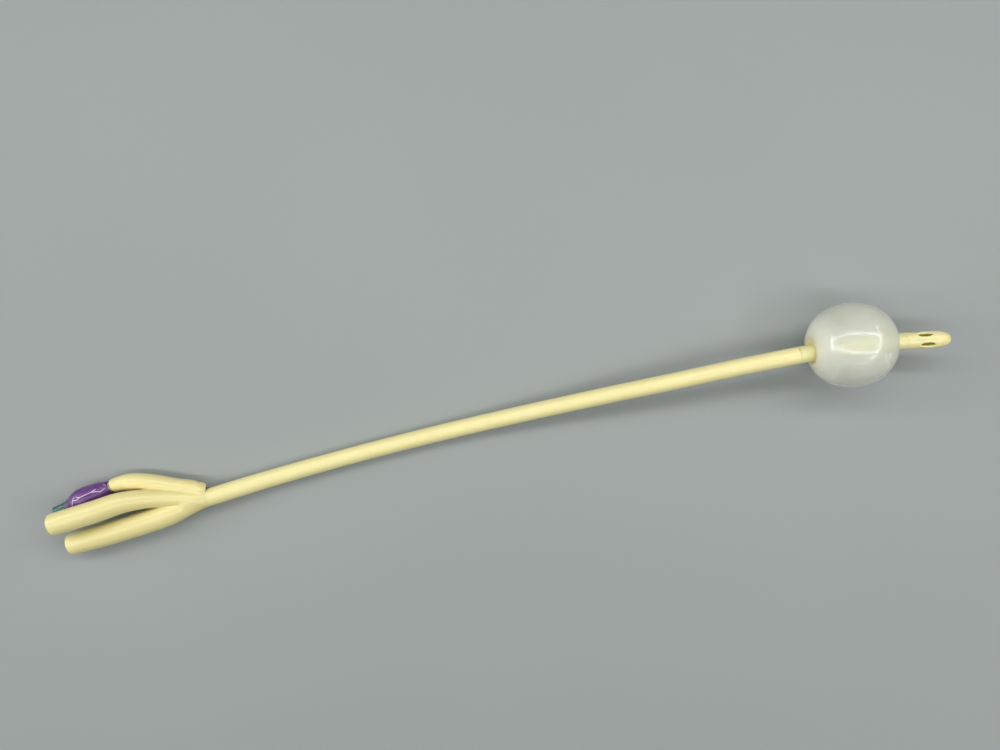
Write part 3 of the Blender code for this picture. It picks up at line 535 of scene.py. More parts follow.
def shown(name, data):
    """An object in the scene that shows a mesh, a lamp or a camera."""
    made = bpy.data.objects.new(name, data)
    bpy.context.scene.collection.objects.link(made)
    return made


def new_piece(name, corners, faces, finish):
    mesh = bpy.data.meshes.new(name)
    mesh.from_pydata(np.asarray(corners).tolist(), [], [tuple(face) for face in faces])
    mesh.materials.append(finish)
    mesh.shade_smooth()
    return shown(name, mesh)


def face_outward(piece):
    shape = bmesh.new()
    shape.from_mesh(piece.data)
    bmesh.ops.recalc_face_normals(shape, faces=shape.faces)
    shape.to_mesh(piece.data)
    shape.free()


def netted(name, field, node, margin, step, rounds, finish):
    """A piece whose surface is where a field is zero, in a margin round one of the frame's solids."""
    low, high = (np.array(corner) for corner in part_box(node))
    corners, quads = surface_net(field, low - margin, high + margin, step)
    return new_piece(name, settle(field, corners, quads, rounds), quads.tolist(), finish)


def ring_faces(rings, sides, closed=False):
    """The quads between rings of corners, each with as many sides."""
    faces = []
    for ring in range(rings if closed else rings - 1):
        following = (ring + 1) % rings
        for side in range(sides):
            across = (side + 1) % sides
            faces.append((ring * sides + side, ring * sides + across,
                          following * sides + across, following * sides + side))
    return faces


def rounded(outline, round_size, steps=5):
    """A closed outline with each corner rounded."""
    corners = [np.array(point) for point in outline]
    result = []
    for index, corner in enumerate(corners):
        before = corners[index - 1] - corner
        after = corners[(index + 1) % len(corners)] - corner
        cut_back = min(round_size, np.linalg.norm(before) * 0.45, np.linalg.norm(after) * 0.45)
        first = corner + before / np.linalg.norm(before) * cut_back
        last = corner + after / np.linalg.norm(after) * cut_back
        for step in range(steps + 1):
            t = step / steps
            result.append(first * (1 - t) ** 2 + corner * 2 * t * (1 - t) + last * t * t)
    return result


def valve_frame(fill_arm):
    """A frame at the mouth of the syringe port, whose +Z runs inward along the valve."""
    outward = fill_arm.direction(fill_arm.length)
    mouth = fill_arm.point(fill_arm.length) + outward * (VALVE_LENGTH + FACE_GAP)
    left = np.cross(UP, outward)
    left /= np.linalg.norm(left)
    axes = Matrix((left, np.cross(outward, left), -outward)).transposed().to_4x4()
    return Matrix.Translation(mouth) @ axes


def hub_field(route, arms):
    """The hub's field: a barrel and three arms, moulded together, less the socket and the bores."""
    drain_arm, rinse_arm, fill_arm = arms
    mouth = HUB_SOCKET_DEPTH
    past = 5.0 * MM

    def whole(arm, diameters, groove):
        rim = arm.length - 2.0 * RIM_GROOVE_BACK
        before_rim = stations(0.0, rim, 1.1 * MM)[:-1]
        distances = np.concatenate((before_rim, stations(rim, arm.length + past, 0.35 * MM)))
        back = np.clip((arm.length - distances) / RIM_GROOVE_BACK, 0.0, 2.0)
        radii = np.array([radius_from(diameters, d) for d in distances])
        radii -= groove * (1.0 - np.cos(math.pi * back)) / 2
        end_plane = Plane(arm.point(arm.length), arm.direction(arm.length))
        return Tube([arm.point(d) for d in distances], radii), end_plane

    def bore(arm, diameters, root, root_radius):
        narrow = arm.length - FUNNEL_BORE[0]
        full = arm.length - FUNNEL_BORE[1]
        throat = FUNNEL_THROAT_DIAMETER / 2
        distances = stations(narrow, arm.length + past, 1.1 * MM)
        wide = [radius_from(diameters, min(d, arm.length)) - FUNNEL_WALL for d in distances]
        radii = [between(d, narrow, full, throat, w) for d, w in zip(distances, wide)]
        into = root - np.array((1.5 * MM, 0.0, 0.0))
        centres = [root, into] + [arm.point(d) for d in distances]
        return Tube(centres, [root_radius, root_radius] + radii)

    core = Tube(
        [route.beside(along * MM, (CORE_TO_LEFT * left, 0.0)) for along, _, left in CORE_ROWS],
        [CORE_DIAMETER / 2 * share for _, share, _ in CORE_ROWS],
    )
    heading = route.direction(mouth)
    turned = heading * math.cos(MOUTH_TURN) + np.cross(UP, heading) * math.sin(MOUTH_TURN)
    outward = turned * math.cos(MOUTH_TILT) - UP * math.sin(MOUTH_TILT)
    shaft_axis = Tube.along(route, stations(-past, mouth + past, 2.0 * MM), lambda d: 0.0)
    lip = route.point(mouth + LIP_AHEAD)
    bell = Bell(shaft_axis, lip, outward, THICK_END_RADIUS + 0.05 * MM)
    mouth_plane = Plane(lip, outward)
    root_run = stations(0.0, ROOT_RISE_LENGTH, 1.5 * MM)
    rises = between(root_run, 0.0, ROOT_RISE_LENGTH, ROOT_RISE, 0.0)
    rises *= between(root_run, 0.0, ROOT_RISE_START, 0.1, 1.0)
    swells = between(root_run, 0.0, ROOT_RISE_LENGTH, ROOT_SWELL, 0.99)
    root = Tube(
        [drain_arm.point(d) + UP * rise for d, rise in zip(root_run, rises)],
        [radius_from(DRAIN_DIAMETERS, d) * swell for d, swell in zip(root_run, swells)],
    )
    drain = whole(drain_arm, DRAIN_DIAMETERS, RIM_GROOVE)
    rinse = whole(rinse_arm, RINSE_DIAMETERS, RIM_GROOVE)
    fill = whole(fill_arm, FILL_DIAMETERS, 0.0)
    shoulder_places = [route.beside(along * MM, (left * MM, 0.0)) for along, left, _ in SHOULDER_ROWS]
    shoulder = Tube(
        shoulder_places + [fill_arm.point(SHOULDER_END[0])],
        [radius * MM for _, _, radius in SHOULDER_ROWS] + [SHOULDER_END[1]],
    )

    def socket_radius(distance):
        loose, tight = THICK_END_RADIUS + 0.02 * MM, THICK_END_RADIUS - SOCKET_GRIP
        return between(distance, 0.0, SOCKET_GRIP_LENGTH, loose, tight)

    socket = Tube.along(route, stations(-BOND_GAP, mouth + past, MM), socket_radius)
    socket_back = Plane(route.point(-BOND_GAP), -route.direction(0.0))
    drain_root = route.beside(1.5 * MM, DRAIN_LUMEN_PLACE)
    rinse_root = route.beside(1.5 * MM, RINSE_LUMEN_PLACE)
    drain_bore = bore(drain_arm, DRAIN_DIAMETERS, drain_root, DRAIN_LUMEN_HEIGHT / 2)
    rinse_bore = bore(rinse_arm, RINSE_DIAMETERS, rinse_root, RINSE_LUMEN_DIAMETER / 2)
    tail_start = fill_arm.length - TAIL_LENGTH
    channel_centres = [route.beside(mouth - back * MM, FILL_LUMEN_PLACE) for back in (1.5, 3.0)]
    channel_centres += [fill_arm.point(d) for d in stations(FILL_CHANNEL_JOIN, tail_start, 3.0 * MM)]
    channel = Tube(channel_centres, [FILL_CHANNEL_DIAMETER / 2] * len(channel_centres))
    end = fill_arm.point(fill_arm.length)
    ahead = fill_arm.direction(fill_arm.length)
    # The barbs of the valve's tail bite into the latex, so its bore is drawn close round its stem
    tail_radius = TAIL_BORE_DIAMETER / 2 - TAIL_BITE
    tail_bore = Tube([end - ahead * TAIL_LENGTH, end + ahead * past], [tail_radius] * 2)
    tail_back = Plane(end - ahead * TAIL_LENGTH, -ahead)

    def field(points):
        shape = joined(core(points), root(points), ARM_FILLET)
        shape = joined(shape, shoulder(points), ARM_FILLET)
        for tube, end_plane in (drain, rinse, fill):
            arm = limited(tube(points), end_plane(points), RIM_ROUND)
            shape = joined(shape, arm, ARM_FILLET)
        shape = limited(shape, bell(points), 0.5 * MM)
        shape = limited(shape, mouth_plane(points), 0.3 * MM)
        shape = without(shape, limited(socket(points), socket_back(points), 0.2 * MM), 0.1 * MM)
        shape = without(shape, drain_bore(points), BORE_ROUND)
        shape = without(shape, rinse_bore(points), BORE_ROUND)
        shape = without(shape, channel(points), 0.2 * MM)
        return without(shape, limited(tail_bore(points), tail_back(points), 0.2 * MM), 0.3 * MM)

    return field


def tip_radius(distance, end):
    """The tip swells a little round its eyes and then closes in a blunt nose."""
    nose = end - TIP_NOSE_LENGTH
    start = end + TIP_SHORT - TIP_LENGTH
    wide = TIP_EYE_DIAMETER / 2 * TIP_SLIM
    if distance <= nose:
        slim = SHAFT_RADIUS * between(distance, start, start + TIP_BLEND, 1.0, TIP_SLIM)
        return between(distance, nose - TIP_SWELL_LENGTH, nose, slim, wide)
    share = min((distance - nose) / TIP_NOSE_LENGTH, 1.0)
    return wide * (1.0 - share**NOSE_BLUNTNESS) ** (1.0 / NOSE_BLUNTNESS)


def tip_field(route):
    """The tip's field: a blunt nose with a cavity, two eyes and the irrigation lumen's own eye."""
    _, _, bed_end = balloon_span(route)
    start = bed_end - TIP_JOINT_IN_COLLAR + FACE_GAP
    end = bed_end + TIP_LENGTH - TIP_SHORT
    nose = end - TIP_NOSE_LENGTH
    eye = bed_end + TIP_LENGTH - EYE_FROM_END
    turns = np.linspace(0.0, math.pi / 2, 26)[1:]
    in_bed = stations(start - MM, bed_end + 0.01 * MM, MM)
    free = stations(bed_end + 0.03 * MM, nose, 1.5 * MM)
    distances = np.concatenate((in_bed, free, nose + TIP_NOSE_LENGTH * np.sin(turns)))
    body = Tube.along(
        route, distances, lambda d: BED_RADIUS if d <= in_bed[-1] else tip_radius(d, end),
    )
    back = Plane(route.point(start), -route.direction(start))

    small, wide = DRAIN_LUMEN_HEIGHT / 2, TIP_CAVITY_DIAMETER / 2
    raised = (0.0, TIP_CAVITY_RISE)
    wide_start, wide_end = eye - EYE_SIZE[0] / 2, eye + EYE_SIZE[0] / 2
    rows = [
        (start - 2.0 * MM, DRAIN_LUMEN_PLACE, small),
        (wide_start - TIP_CAVITY_TAPER, DRAIN_LUMEN_PLACE, small),
        (wide_start, raised, wide), (wide_end, raised, wide),
        (wide_end + TIP_CAVITY_ROUND, raised, wide / 2),
    ]
    cavity = Tube([route.beside(d, place) for d, place, _ in rows], [radius for _, _, radius in rows])
    rinse_run = stations(start - 2.0 * MM, eye, 2.0 * MM)
    rinse_radii = [RINSE_LUMEN_DIAMETER / 2] * len(rinse_run)
    rinse = Tube([route.beside(d, RINSE_LUMEN_PLACE) for d in rinse_run], rinse_radii)

    left, up = route.sides(eye)
    ahead = route.direction(eye)

    def hole(distance, place, angle, size):
        outward = up * math.cos(angle) - left * math.sin(angle)
        return Eye(route.beside(distance, place), ahead, outward, size)

    rinse_angle = math.atan2(-RINSE_LUMEN_PLACE[0], RINSE_LUMEN_PLACE[1])
    holes = [
        hole(eye - EYE_STAGGER, raised, EYE_ANGLES[0], EYE_SIZE),
        hole(eye + EYE_STAGGER, raised, EYE_ANGLES[1], EYE_SIZE),
        hole(eye - RINSE_EYE_BACK, RINSE_LUMEN_PLACE, rinse_angle, RINSE_EYE_SIZE),
    ]

    def field(points):
        shape = limited(body(points), back(points), 0.2 * MM)
        shape = without(shape, cavity(points), 0.2 * MM)
        shape = without(shape, rinse(points), 0.2 * MM)
        for opening in holes:
            shape = without(shape, opening(points), EYE_ROUND)
        return shape

    return field


def make_shaft(route, finish):
    """The shaft, with its three lumens open at both ends and its bed under the balloon."""
    _, bed_start, bed_end = balloon_span(route)
    joint = bed_end - TIP_JOINT_IN_COLLAR
    step = 0.02 * MM
    distances = [d for d in stations(0.0, joint, 1.5 * MM) if abs(d - bed_start) > 2 * step]
    distances = sorted(distances + [bed_start - step, bed_start])
    shape = bmesh.new()

    def sweep(place, half_width, half_height, sides, flip, radius_at=None):
        rings = []
        for distance in distances:
            left, up = route.sides(distance)
            middle = route.point(distance) + left * place[0] + up * place[1]
            scale = 1.0 if radius_at is None else radius_at(distance)
            ring = []
            for side in range(sides):
                turn = 2.0 * math.pi * side / sides
                reach = left * half_width * math.cos(turn) + up * half_height * math.sin(turn)
                ring.append(shape.verts.new(middle + reach * scale))
            rings.append(ring)
        for before, after in zip(rings, rings[1:]):
            for side in range(sides):
                across = (side + 1) % sides
                quad = (before[side], after[side], after[across], before[across])
                shape.faces.new(quad[::-1] if flip else quad)
        return rings[0], rings[-1]

    def outer_radius(distance):
        return BED_RADIUS if bed_start <= distance <= bed_end else shaft_radius(distance)

    loops = [sweep((0.0, 0.0), 1.0, 1.0, 56, True, outer_radius)]
    loops.append(sweep(DRAIN_LUMEN_PLACE, DRAIN_LUMEN_WIDTH / 2, DRAIN_LUMEN_HEIGHT / 2, 24, False))
    rinse = RINSE_LUMEN_DIAMETER / 2
    loops.append(sweep(RINSE_LUMEN_PLACE, rinse, rinse, 14, False))
    fill = FILL_LUMEN_DIAMETER / 2
    loops.append(sweep(FILL_LUMEN_PLACE, fill, fill, 10, False))
    for end in range(2):
        edges = []
        for loop in loops:
            ring = loop[end]
            edges += [shape.edges.get((ring[side - 1], ring[side])) for side in range(len(ring))]
        bmesh.ops.triangle_fill(shape, edges=edges, use_beauty=True, use_dissolve=False)
    bmesh.ops.recalc_face_normals(shape, faces=shape.faces)
    mesh = bpy.data.meshes.new("latex_shaft")
    shape.to_mesh(mesh)
    shape.free()
    mesh.materials.append(finish)
    mesh.shade_smooth()
    mesh.set_sharp_from_angle(angle=SHARP_ANGLE)
    return shown("latex_shaft", mesh), joint


def lathe(name, outline, frame_matrix, sides, finish, outward=None, bent=None):
    """A turned piece from a closed outline of (radius, depth), then moved outward or bent."""
    radius, depth = np.array(outline).T
    turn = 2.0 * math.pi * np.arange(sides) / sides
    reach = np.repeat(radius[:, None], sides, axis=1)
    if outward is not None:
        reach = reach + outward
    along = np.repeat(depth[:, None], sides, axis=1)
    corners = np.stack((reach * np.cos(turn), reach * np.sin(turn), along), axis=-1).reshape(-1, 3)
    if bent is not None:
        corners = bent(corners)
    piece = new_piece(name, corners, ring_faces(len(outline), sides, closed=True), finish)
    face_outward(piece)
    piece.data.set_sharp_from_angle(angle=SHARP_ANGLE)
    piece.matrix_world = frame_matrix
    return piece


def balloon_frame(route):
    """A frame at the balloon's centre, whose +Z runs along the shaft and whose +Y points up."""
    centre = balloon_span(route)[0]
    left, up = route.sides(centre)
    place = route.point(centre) + left * BALLOON_TO_LEFT
    columns = Matrix((-left, up, route.direction(centre))).transposed().to_4x4()
    return Matrix.Translation(place) @ columns


def pole_dip(radius, depth, width):
    """How far the ball's film is drawn in towards its middle near the shaft."""
    return depth * math.exp(-(((radius - SHAFT_RADIUS) / width) ** 2))


def along_shaft(route, centre, frame_matrix):
    """Bends what lies close to the balloon's axis so that it follows the shaft through it."""
    inverse = np.array(frame_matrix.inverted())
    near = stations(centre - 25.0 * MM, centre + 25.0 * MM, 0.5 * MM)
    places = np.array([route.point(d) for d in near])
    local = places @ inverse[:3, :3].T + inverse[:3, 3]

    def bent(corners):
        reach = np.hypot(corners[:, 0], corners[:, 1])
        share = between(reach, SHAFT_RADIUS + 0.5 * MM, BALLOON_RADIUS / 2, 1.0, 0.0)
        for axis in range(2):
            corners[:, axis] += share * np.interp(corners[:, 2], local[:, 2], local[:, axis])
        return corners

    return bent


def make_balloon(route, film_finish, water_finish, collar_finish):
    """The filled film, drawn in where it meets its two collars, the collars and the water inside."""
    centre, start, _ = balloon_span(route)
    frame_matrix = balloon_frame(route)
    bent = along_shaft(route, centre, frame_matrix)
    collar_end = centre - start
    collar = SHAFT_RADIUS + 0.01 * MM

    def half(radius, least, dip, steps):
        """Corners from the equator to the pole, down to the least radius."""
        power = 2.0 / BALLOON_FULLNESS
        last = math.acos((least / radius) ** (1.0 / power))
        rows = []
        for step in range(steps + 1):
            turn = last * math.sin(math.pi / 2 * step / steps)
            across = radius * math.cos(turn) ** power
            along = radius * math.sin(turn) ** power
            rows.append((across, along - pole_dip(across, *dip)))
        return rows

    outer = half(BALLOON_RADIUS, collar, (1.15 * MM, 1.2 * MM), 64)
    inner = half(BALLOON_RADIUS - BALLOON_FILM, BED_RADIUS + BOND_GAP, (1.3 * MM, 1.3 * MM), 56)
    right = outer[1:] + inner[::-1]
    outline = right + [(r, -z) for r, z in reversed(right)] + [outer[0]]
    film = lathe("balloon_film", outline, frame_matrix, BALLOON_SIDES, film_finish, bent=bent)
    bore = BED_RADIUS + 0.02 * MM
    bonded = stations(outer[-1][1] - 0.3 * MM, collar_end - 0.05 * MM, 0.8 * MM)
    sleeve = [(collar, z) for z in bonded] + [(collar - 0.02 * MM, collar_end), (bore, collar_end)]
    sleeve += [(bore, z) for z in reversed(bonded)]
    collars = []
    for side, sign in (("hub", -1.0), ("tip", 1.0)):
        rows = [(r, sign * z) for r, z in sleeve]
        name = f"balloon_collar_{side}_side"
        collars.append(lathe(name, rows, frame_matrix, BALLOON_SIDES, collar_finish, bent=bent))

    gap = 0.03 * MM
    water_radius = BALLOON_RADIUS - BALLOON_FILM - gap
    water_arc = half(water_radius, BED_RADIUS + BOND_GAP, (1.3 * MM, 1.3 * MM), 48)
    pole = water_arc[-1][1]
    bore_run = [(BED_RADIUS - gap, z) for z in stations(pole, -pole, 1.2 * MM)]
    water_outline = water_arc + bore_run + [(r, -z) for r, z in reversed(water_arc[1:])]
    water = lathe(
        "balloon_water_fill", water_outline, frame_matrix, BALLOON_SIDES, water_finish, bent=bent,
    )
    return film, water, collars


# The creases of the violet sleeve: depth in the valve in millimetres, and degrees round it from the top
CREASES = [
    [
        (10.4, -9.2), (11.8, 15.4), (13.3, 6.0), (15.2, 12.9), (18.2, 14.4), (20.3, 14.2), (22.2, 7.0),
        (23.7, -5.4), (25.2, 3.0), (26.3, 4.0),
    ],
    [(11.8, 15.4), (12.5, 27.2)],
    [(13.9, 20.0), (15.2, 12.9)],
    [(20.3, 14.2), (22.3, 21.2)],
    [(26.3, 4.0), (26.4, 25.7), (25.6, 41.2)],
    [(9.0, -60.0), (13.0, -72.0), (18.0, -66.0), (23.0, -74.0)],
    [(10.0, 120.0), (15.0, 131.0), (21.0, 122.0), (25.0, 133.0)],
]
CREASE_HEIGHT = 0.3 * MM
CREASE_WIDTH = 0.5 * MM


def crease_distance(depth, turn, radius):
    """How far places on the sleeve are from their nearest crease line, across the sleeve's skin."""
    here = np.stack((depth, turn * radius), axis=-1)
    nearest = np.full(depth.shape, 1.0)
    for line in CREASES:
        places = np.array([(d * MM, math.radians(a) * SLEEVE_RADIUS) for d, a in line])
        for start, end in zip(places, places[1:]):
            run = end - start
            share = np.clip(((here - start) @ run) / (run @ run), 0.0, 1.0)
            gap = here - start - share[..., None] * run
            nearest = np.minimum(nearest, np.sqrt((gap * gap).sum(axis=-1)))
    return nearest


def make_sleeve(frame_matrix, finish):
    """The violet film, drawn tight over the valve, with the creases that it was left with."""
    port = PORT_DIAMETER / 2 + BOND_GAP
    barrel = HOUSING_DIAMETER / 2 + BOND_GAP
    flange = HOUSING_END_DIAMETER / 2 + BOND_GAP
    neck = BASE_NECK_DIAMETER / 2 + BOND_GAP
    skin = [
        (port, SLEEVE_START), (port, PORT_LENGTH), (barrel - 0.6 * MM, SEAT_DEPTH - 1.2 * MM),
        (barrel, SEAT_DEPTH + 0.8 * MM), (flange, HOUSING_LENGTH), (flange - 0.2 * MM, BASE_FLANGE_END),
        (neck, VALVE_LENGTH - FACE_GAP),
    ]
    run = Route([(depth, radius, 0.0) for radius, depth in skin])
    rows = [run.point(distance) for distance in stations(0.0, run.length, 0.16 * MM)]
    depths = np.array([row[0] for row in rows])
    radii = np.array([row[1] for row in rows])
    lip = SLEEVE_WALL * np.array((0.15, 0.55, 0.85))
    outer = radii + SLEEVE_WALL
    outer[:3] = radii[:3] + lip
    outer[-3:] = radii[-3:] + lip[::-1]
    sides = 200
    turn = 2.0 * math.pi * np.arange(sides) / sides
    # The frame's +Y points up and its +X away from the side that the arm leaves the hub on
    from_top = np.arctan2(-np.cos(turn), np.sin(turn))
    depth_grid, top_grid = np.meshgrid(depths, from_top, indexing="ij")
    gap = crease_distance(depth_grid, top_grid, SLEEVE_RADIUS)
    ridge = np.clip(1.0 - gap / CREASE_WIDTH, 0.0, 1.0)
    wave = np.sin(depth_grid / (1.9 * MM) + 2.0 * np.sin(top_grid * 2.0))
    wave *= np.sin(top_grid * 3.0 + depth_grid / (3.1 * MM))
    lift = CREASE_HEIGHT * ridge**1.5 + 0.05 * MM * wave
    ends = np.clip(np.minimum(depths - depths[0], depths[-1] - depths) / (1.5 * MM), 0.0, 1.0)
    lift *= ends[:, None]
    outline = list(zip(outer, depths)) + list(zip(radii, depths))[::-1]
    outward = np.concatenate((lift, np.zeros_like(lift)))
    sleeve = lathe("violet_sleeve", outline, frame_matrix, sides, finish, outward)
    crease = sleeve.data.attributes.new("crease", "FLOAT", "POINT")
    # The crest mask marks where the violet finish paints a near-white highlight along each crease's
    # crest.
    crest_highlight = np.clip(1.0 - gap / (0.45 * CREASE_WIDTH), 0.0, 1.0) * ends[:, None]
    crease.data.foreach_set("value", np.concatenate((crest_highlight, np.zeros_like(crest_highlight))).ravel())
    return sleeve


def make_port(frame_matrix, finish):
    """The valve's housing, whose syringe port stands out of the sleeve."""
    port, bore = PORT_DIAMETER / 2, PORT_BORE_DIAMETER / 2
    barrel, throat, chamber = HOUSING_DIAMETER / 2, THROAT_DIAMETER / 2, CHAMBER_DIAMETER / 2
    shoulder = 0.5 * MM
    outline = [
        (bore, 0.0), (port, 0.0), (port, PORT_LENGTH), (barrel - shoulder, SEAT_DEPTH - shoulder),
        (barrel, SEAT_DEPTH + shoulder), (HOUSING_END_DIAMETER / 2, HOUSING_LENGTH),
        (chamber, HOUSING_LENGTH), (chamber, SEAT_DEPTH), (throat, SEAT_DEPTH), (throat, PORT_BORE_DEPTH),
        (PORT_BORE_END_DIAMETER / 2, PORT_BORE_DEPTH),
    ]
    return lathe("syringe_port", rounded(outline, 0.22 * MM), frame_matrix, 96, finish)


def make_spring(frame_matrix, finish):
    """The coil behind the plunger's head, whose end turns are pitched flat."""
    wire, coil, turns, closing = 0.175 * MM, 1.775 * MM, 4.5, 0.75
    start, end = SPRING_SPAN
    per_turn, sides = 40, 12
    count = round(turns * per_turn)
    rings = []
    for index in range(count + 1):
        share = index / count
        turn = 2.0 * math.pi * turns * share
        wave = 2.0 * math.pi * share
        flat = closing * math.sin(wave) / (2.0 * math.pi)
        slope = (end - start) * (1.0 - closing * math.cos(wave)) / (2.0 * math.pi * turns)
        place = start + (end - start) * (share - flat)
        out = np.array((math.cos(turn), math.sin(turn), 0.0))
        middle = np.array((coil * math.cos(turn), coil * math.sin(turn), place))
        ahead = np.array((-coil * math.sin(turn), coil * math.cos(turn), slope))
        ahead /= np.linalg.norm(ahead)
        across = np.cross(ahead, out)
        for side in range(sides):
            angle = 2.0 * math.pi * side / sides
            rings.append(middle + wire * (out * math.cos(angle) + across * math.sin(angle)))
    faces = ring_faces(count + 1, sides)
    faces.append(tuple(range(sides)))
    faces.append(tuple(range(count * sides, (count + 1) * sides))[::-1])
    spring = new_piece("plunger_spring", rings, faces, finish)
    face_outward(spring)
    spring.matrix_world = frame_matrix
    return spring


class Finish:
    """A material under construction: a Principled shader and the nodes that feed it."""

    def __init__(self, name, **values):
        self.material = bpy.data.materials.new(name)
        self.material.use_nodes = True
        self.tree = self.material.node_tree
        self.shader = self.tree.nodes["Principled BSDF"]
        self.output = self.tree.nodes["Material Output"]
        self.feed(**values)
        self.place = self.add("ShaderNodeTexCoord").outputs["Object"]

    def set(self, node, socket, value):
        if isinstance(value, bpy.types.NodeSocket):
            self.tree.links.new(value, node.inputs[socket])
        elif isinstance(value, tuple) and node.inputs[socket].type == "RGBA":
            node.inputs[socket].default_value = (*value, 1.0)
        else:
            node.inputs[socket].default_value = value

    def feed(self, **values):
        for socket, value in values.items():
            self.set(self.shader, socket.replace("_", " "), value)

    def add(self, kind, settings=(), **inputs):
        node = self.tree.nodes.new(kind)
        for name, value in dict(settings).items():
            setattr(node, name, value)
        for socket, value in inputs.items():
            self.set(node, socket.replace("_", " "), value)
        return node

    def maths(self, kind, operation, *values):
        node = self.add(kind, {"operation": operation})
        for index, value in enumerate(values):
            self.set(node, index, value)
        return node.outputs["Value" if operation == "LENGTH" else 0]

    def noise(self, size, detail=2.0, roughness=0.5):
        """Noise whose grains are about a size in metres."""
        scale = 1.0 / size
        node = self.add(
            "ShaderNodeTexNoise", Vector=self.place, Scale=scale, Detail=detail, Roughness=roughness,
        )
        return node.outputs["Fac"]

    def ranged(self, value, low, high, to_low, to_high):
        node = self.add(
            "ShaderNodeMapRange", {"interpolation_type": "SMOOTHSTEP"}, Value=value,
            From_Min=low, From_Max=high, To_Min=to_low, To_Max=to_high,
        )
        return node.outputs["Result"]

    def patches(self, size, detail, first=0.0, last=1.0, edges=(0.3, 0.7)):
        """A value that goes from first to last and back in patches of about a size."""
        return self.ranged(self.noise(size, detail), *edges, first, last)

    def mixed(self, share, first, second):
        node = self.add("ShaderNodeMix", {"data_type": "RGBA"})
        for socket, value in ((0, share), (6, first), (7, second)):
            self.set(node, socket, value)
        return node.outputs[2]

    def bump(self, height, strength, distance):
        node = self.add("ShaderNodeBump", Height=height, Strength=strength, Distance=distance)
        self.feed(Normal=node.outputs["Normal"])


def blend(tree, share, first, second, output):
    """Sends a mix of two shader nodes to a tree's output."""
    mix = tree.nodes.new("ShaderNodeMixShader")
    tree.links.new(share, mix.inputs[0])
    tree.links.new(first.outputs[0], mix.inputs[1])
    tree.links.new(second.outputs[0], mix.inputs[2])
    tree.links.new(mix.outputs[0], output.inputs["Surface"])


def seen_ray(tree):
    """1 where a camera, glossy or transmission ray asks, and 0 where a lighting ray does."""
    path = tree.nodes.new("ShaderNodeLightPath")
    seen = path.outputs["Is Camera Ray"]
    for kind in ("Is Glossy Ray", "Is Transmission Ray"):
        either = tree.nodes.new("ShaderNodeMath")
        either.operation = "MAXIMUM"
        tree.links.new(seen, either.inputs[0])
        tree.links.new(path.outputs[kind], either.inputs[1])
        seen = either.outputs[0]
    return seen


def latex_finish(name, depth, glow=0.4):
    """Natural latex: butter yellow of a depth, a little cloudy, satin from its silicone coat."""
    made = Finish(
        name, Subsurface_Weight=glow, Subsurface_Scale=1.6 * MM,
        Subsurface_Radius=(1.0, 0.72, 0.34), Coat_Weight=0.35, Coat_Roughness=0.13,
    )
    pale, full = (0.88, 0.80, 0.40), (0.76, 0.66, 0.28)

    def tone_at(share):
        return tuple(a + (b - a) * share for a, b in zip(pale, full))

    cloud = made.patches(14.0 * MM, 3.0, edges=(0.35, 0.65))
    speck = made.patches(1.1 * MM, 2.0)
    tone = made.mixed(cloud, tone_at(depth), tone_at(depth + 0.2))
    fleck = made.mixed(speck, tone_at(depth), tone_at(depth + 0.3))
    made.feed(Base_Color=made.mixed(0.3, tone, fleck), Roughness=made.patches(4.0 * MM, 3.0, 0.36, 0.46))
    made.bump(made.noise(0.6 * MM), 0.05, 0.02 * MM)
    return made.material


def film_finish():
    """The balloon's stretched film: milky and see-through, and plain latex near the shaft."""
    made = Finish(
        "stretched_film", Coat_Weight=1.0, Coat_Roughness=0.09, Sheen_Weight=0.35, Sheen_Roughness=0.4,
        Specular_IOR_Level=0.6,
    )
    flat = made.maths("ShaderNodeVectorMath", "MULTIPLY", made.place, (1.0, 1.0, 0.0))
    reach = made.maths("ShaderNodeVectorMath", "LENGTH", flat)
    flare = made.ranged(reach, 6.5 * MM, 12.5 * MM, 1.0, 0.0)
    collar = made.ranged(reach, 4.4 * MM, 7.2 * MM, 1.0, 0.0)
    milk = made.mixed(made.patches(9.0 * MM, 3.0), (0.91, 0.92, 0.80), (0.88, 0.89, 0.76))
    cream = made.mixed(flare, milk, (0.95, 0.93, 0.74))
    thickness = made.ranged(reach, 9.5 * MM, 16.5 * MM, 0.88, 0.37)
    made.feed(
        Base_Color=made.mixed(collar, cream, (0.86, 0.775, 0.38)),
        Alpha=made.maths("ShaderNodeMath", "MAXIMUM", thickness, collar),
        Roughness=made.patches(2.5 * MM, 3.0, 0.3, 0.4),
    )
    made.bump(made.noise(1.6 * MM, 3.0, 0.6), 0.04, 0.02 * MM)
    return made.material


def water_finish():
    """Water that lamps shine straight through, with a faint cloud in it."""
    made = Finish("clear_water", Transmission_Weight=1.0, IOR=1.333)
    cloud = made.patches(6.0 * MM, 2.0)
    made.feed(
        Base_Color=made.mixed(cloud, (0.95, 0.97, 0.95), (0.92, 0.95, 0.92)),
        Roughness=made.patches(3.0 * MM, 2.0, 0.10, 0.16),
    )
    through = made.add("ShaderNodeBsdfTransparent", Color=(0.9, 0.92, 0.9))
    path = made.add("ShaderNodeLightPath")
    blend(made.tree, path.outputs["Is Shadow Ray"], made.shader, through, made.output)
    return made.material


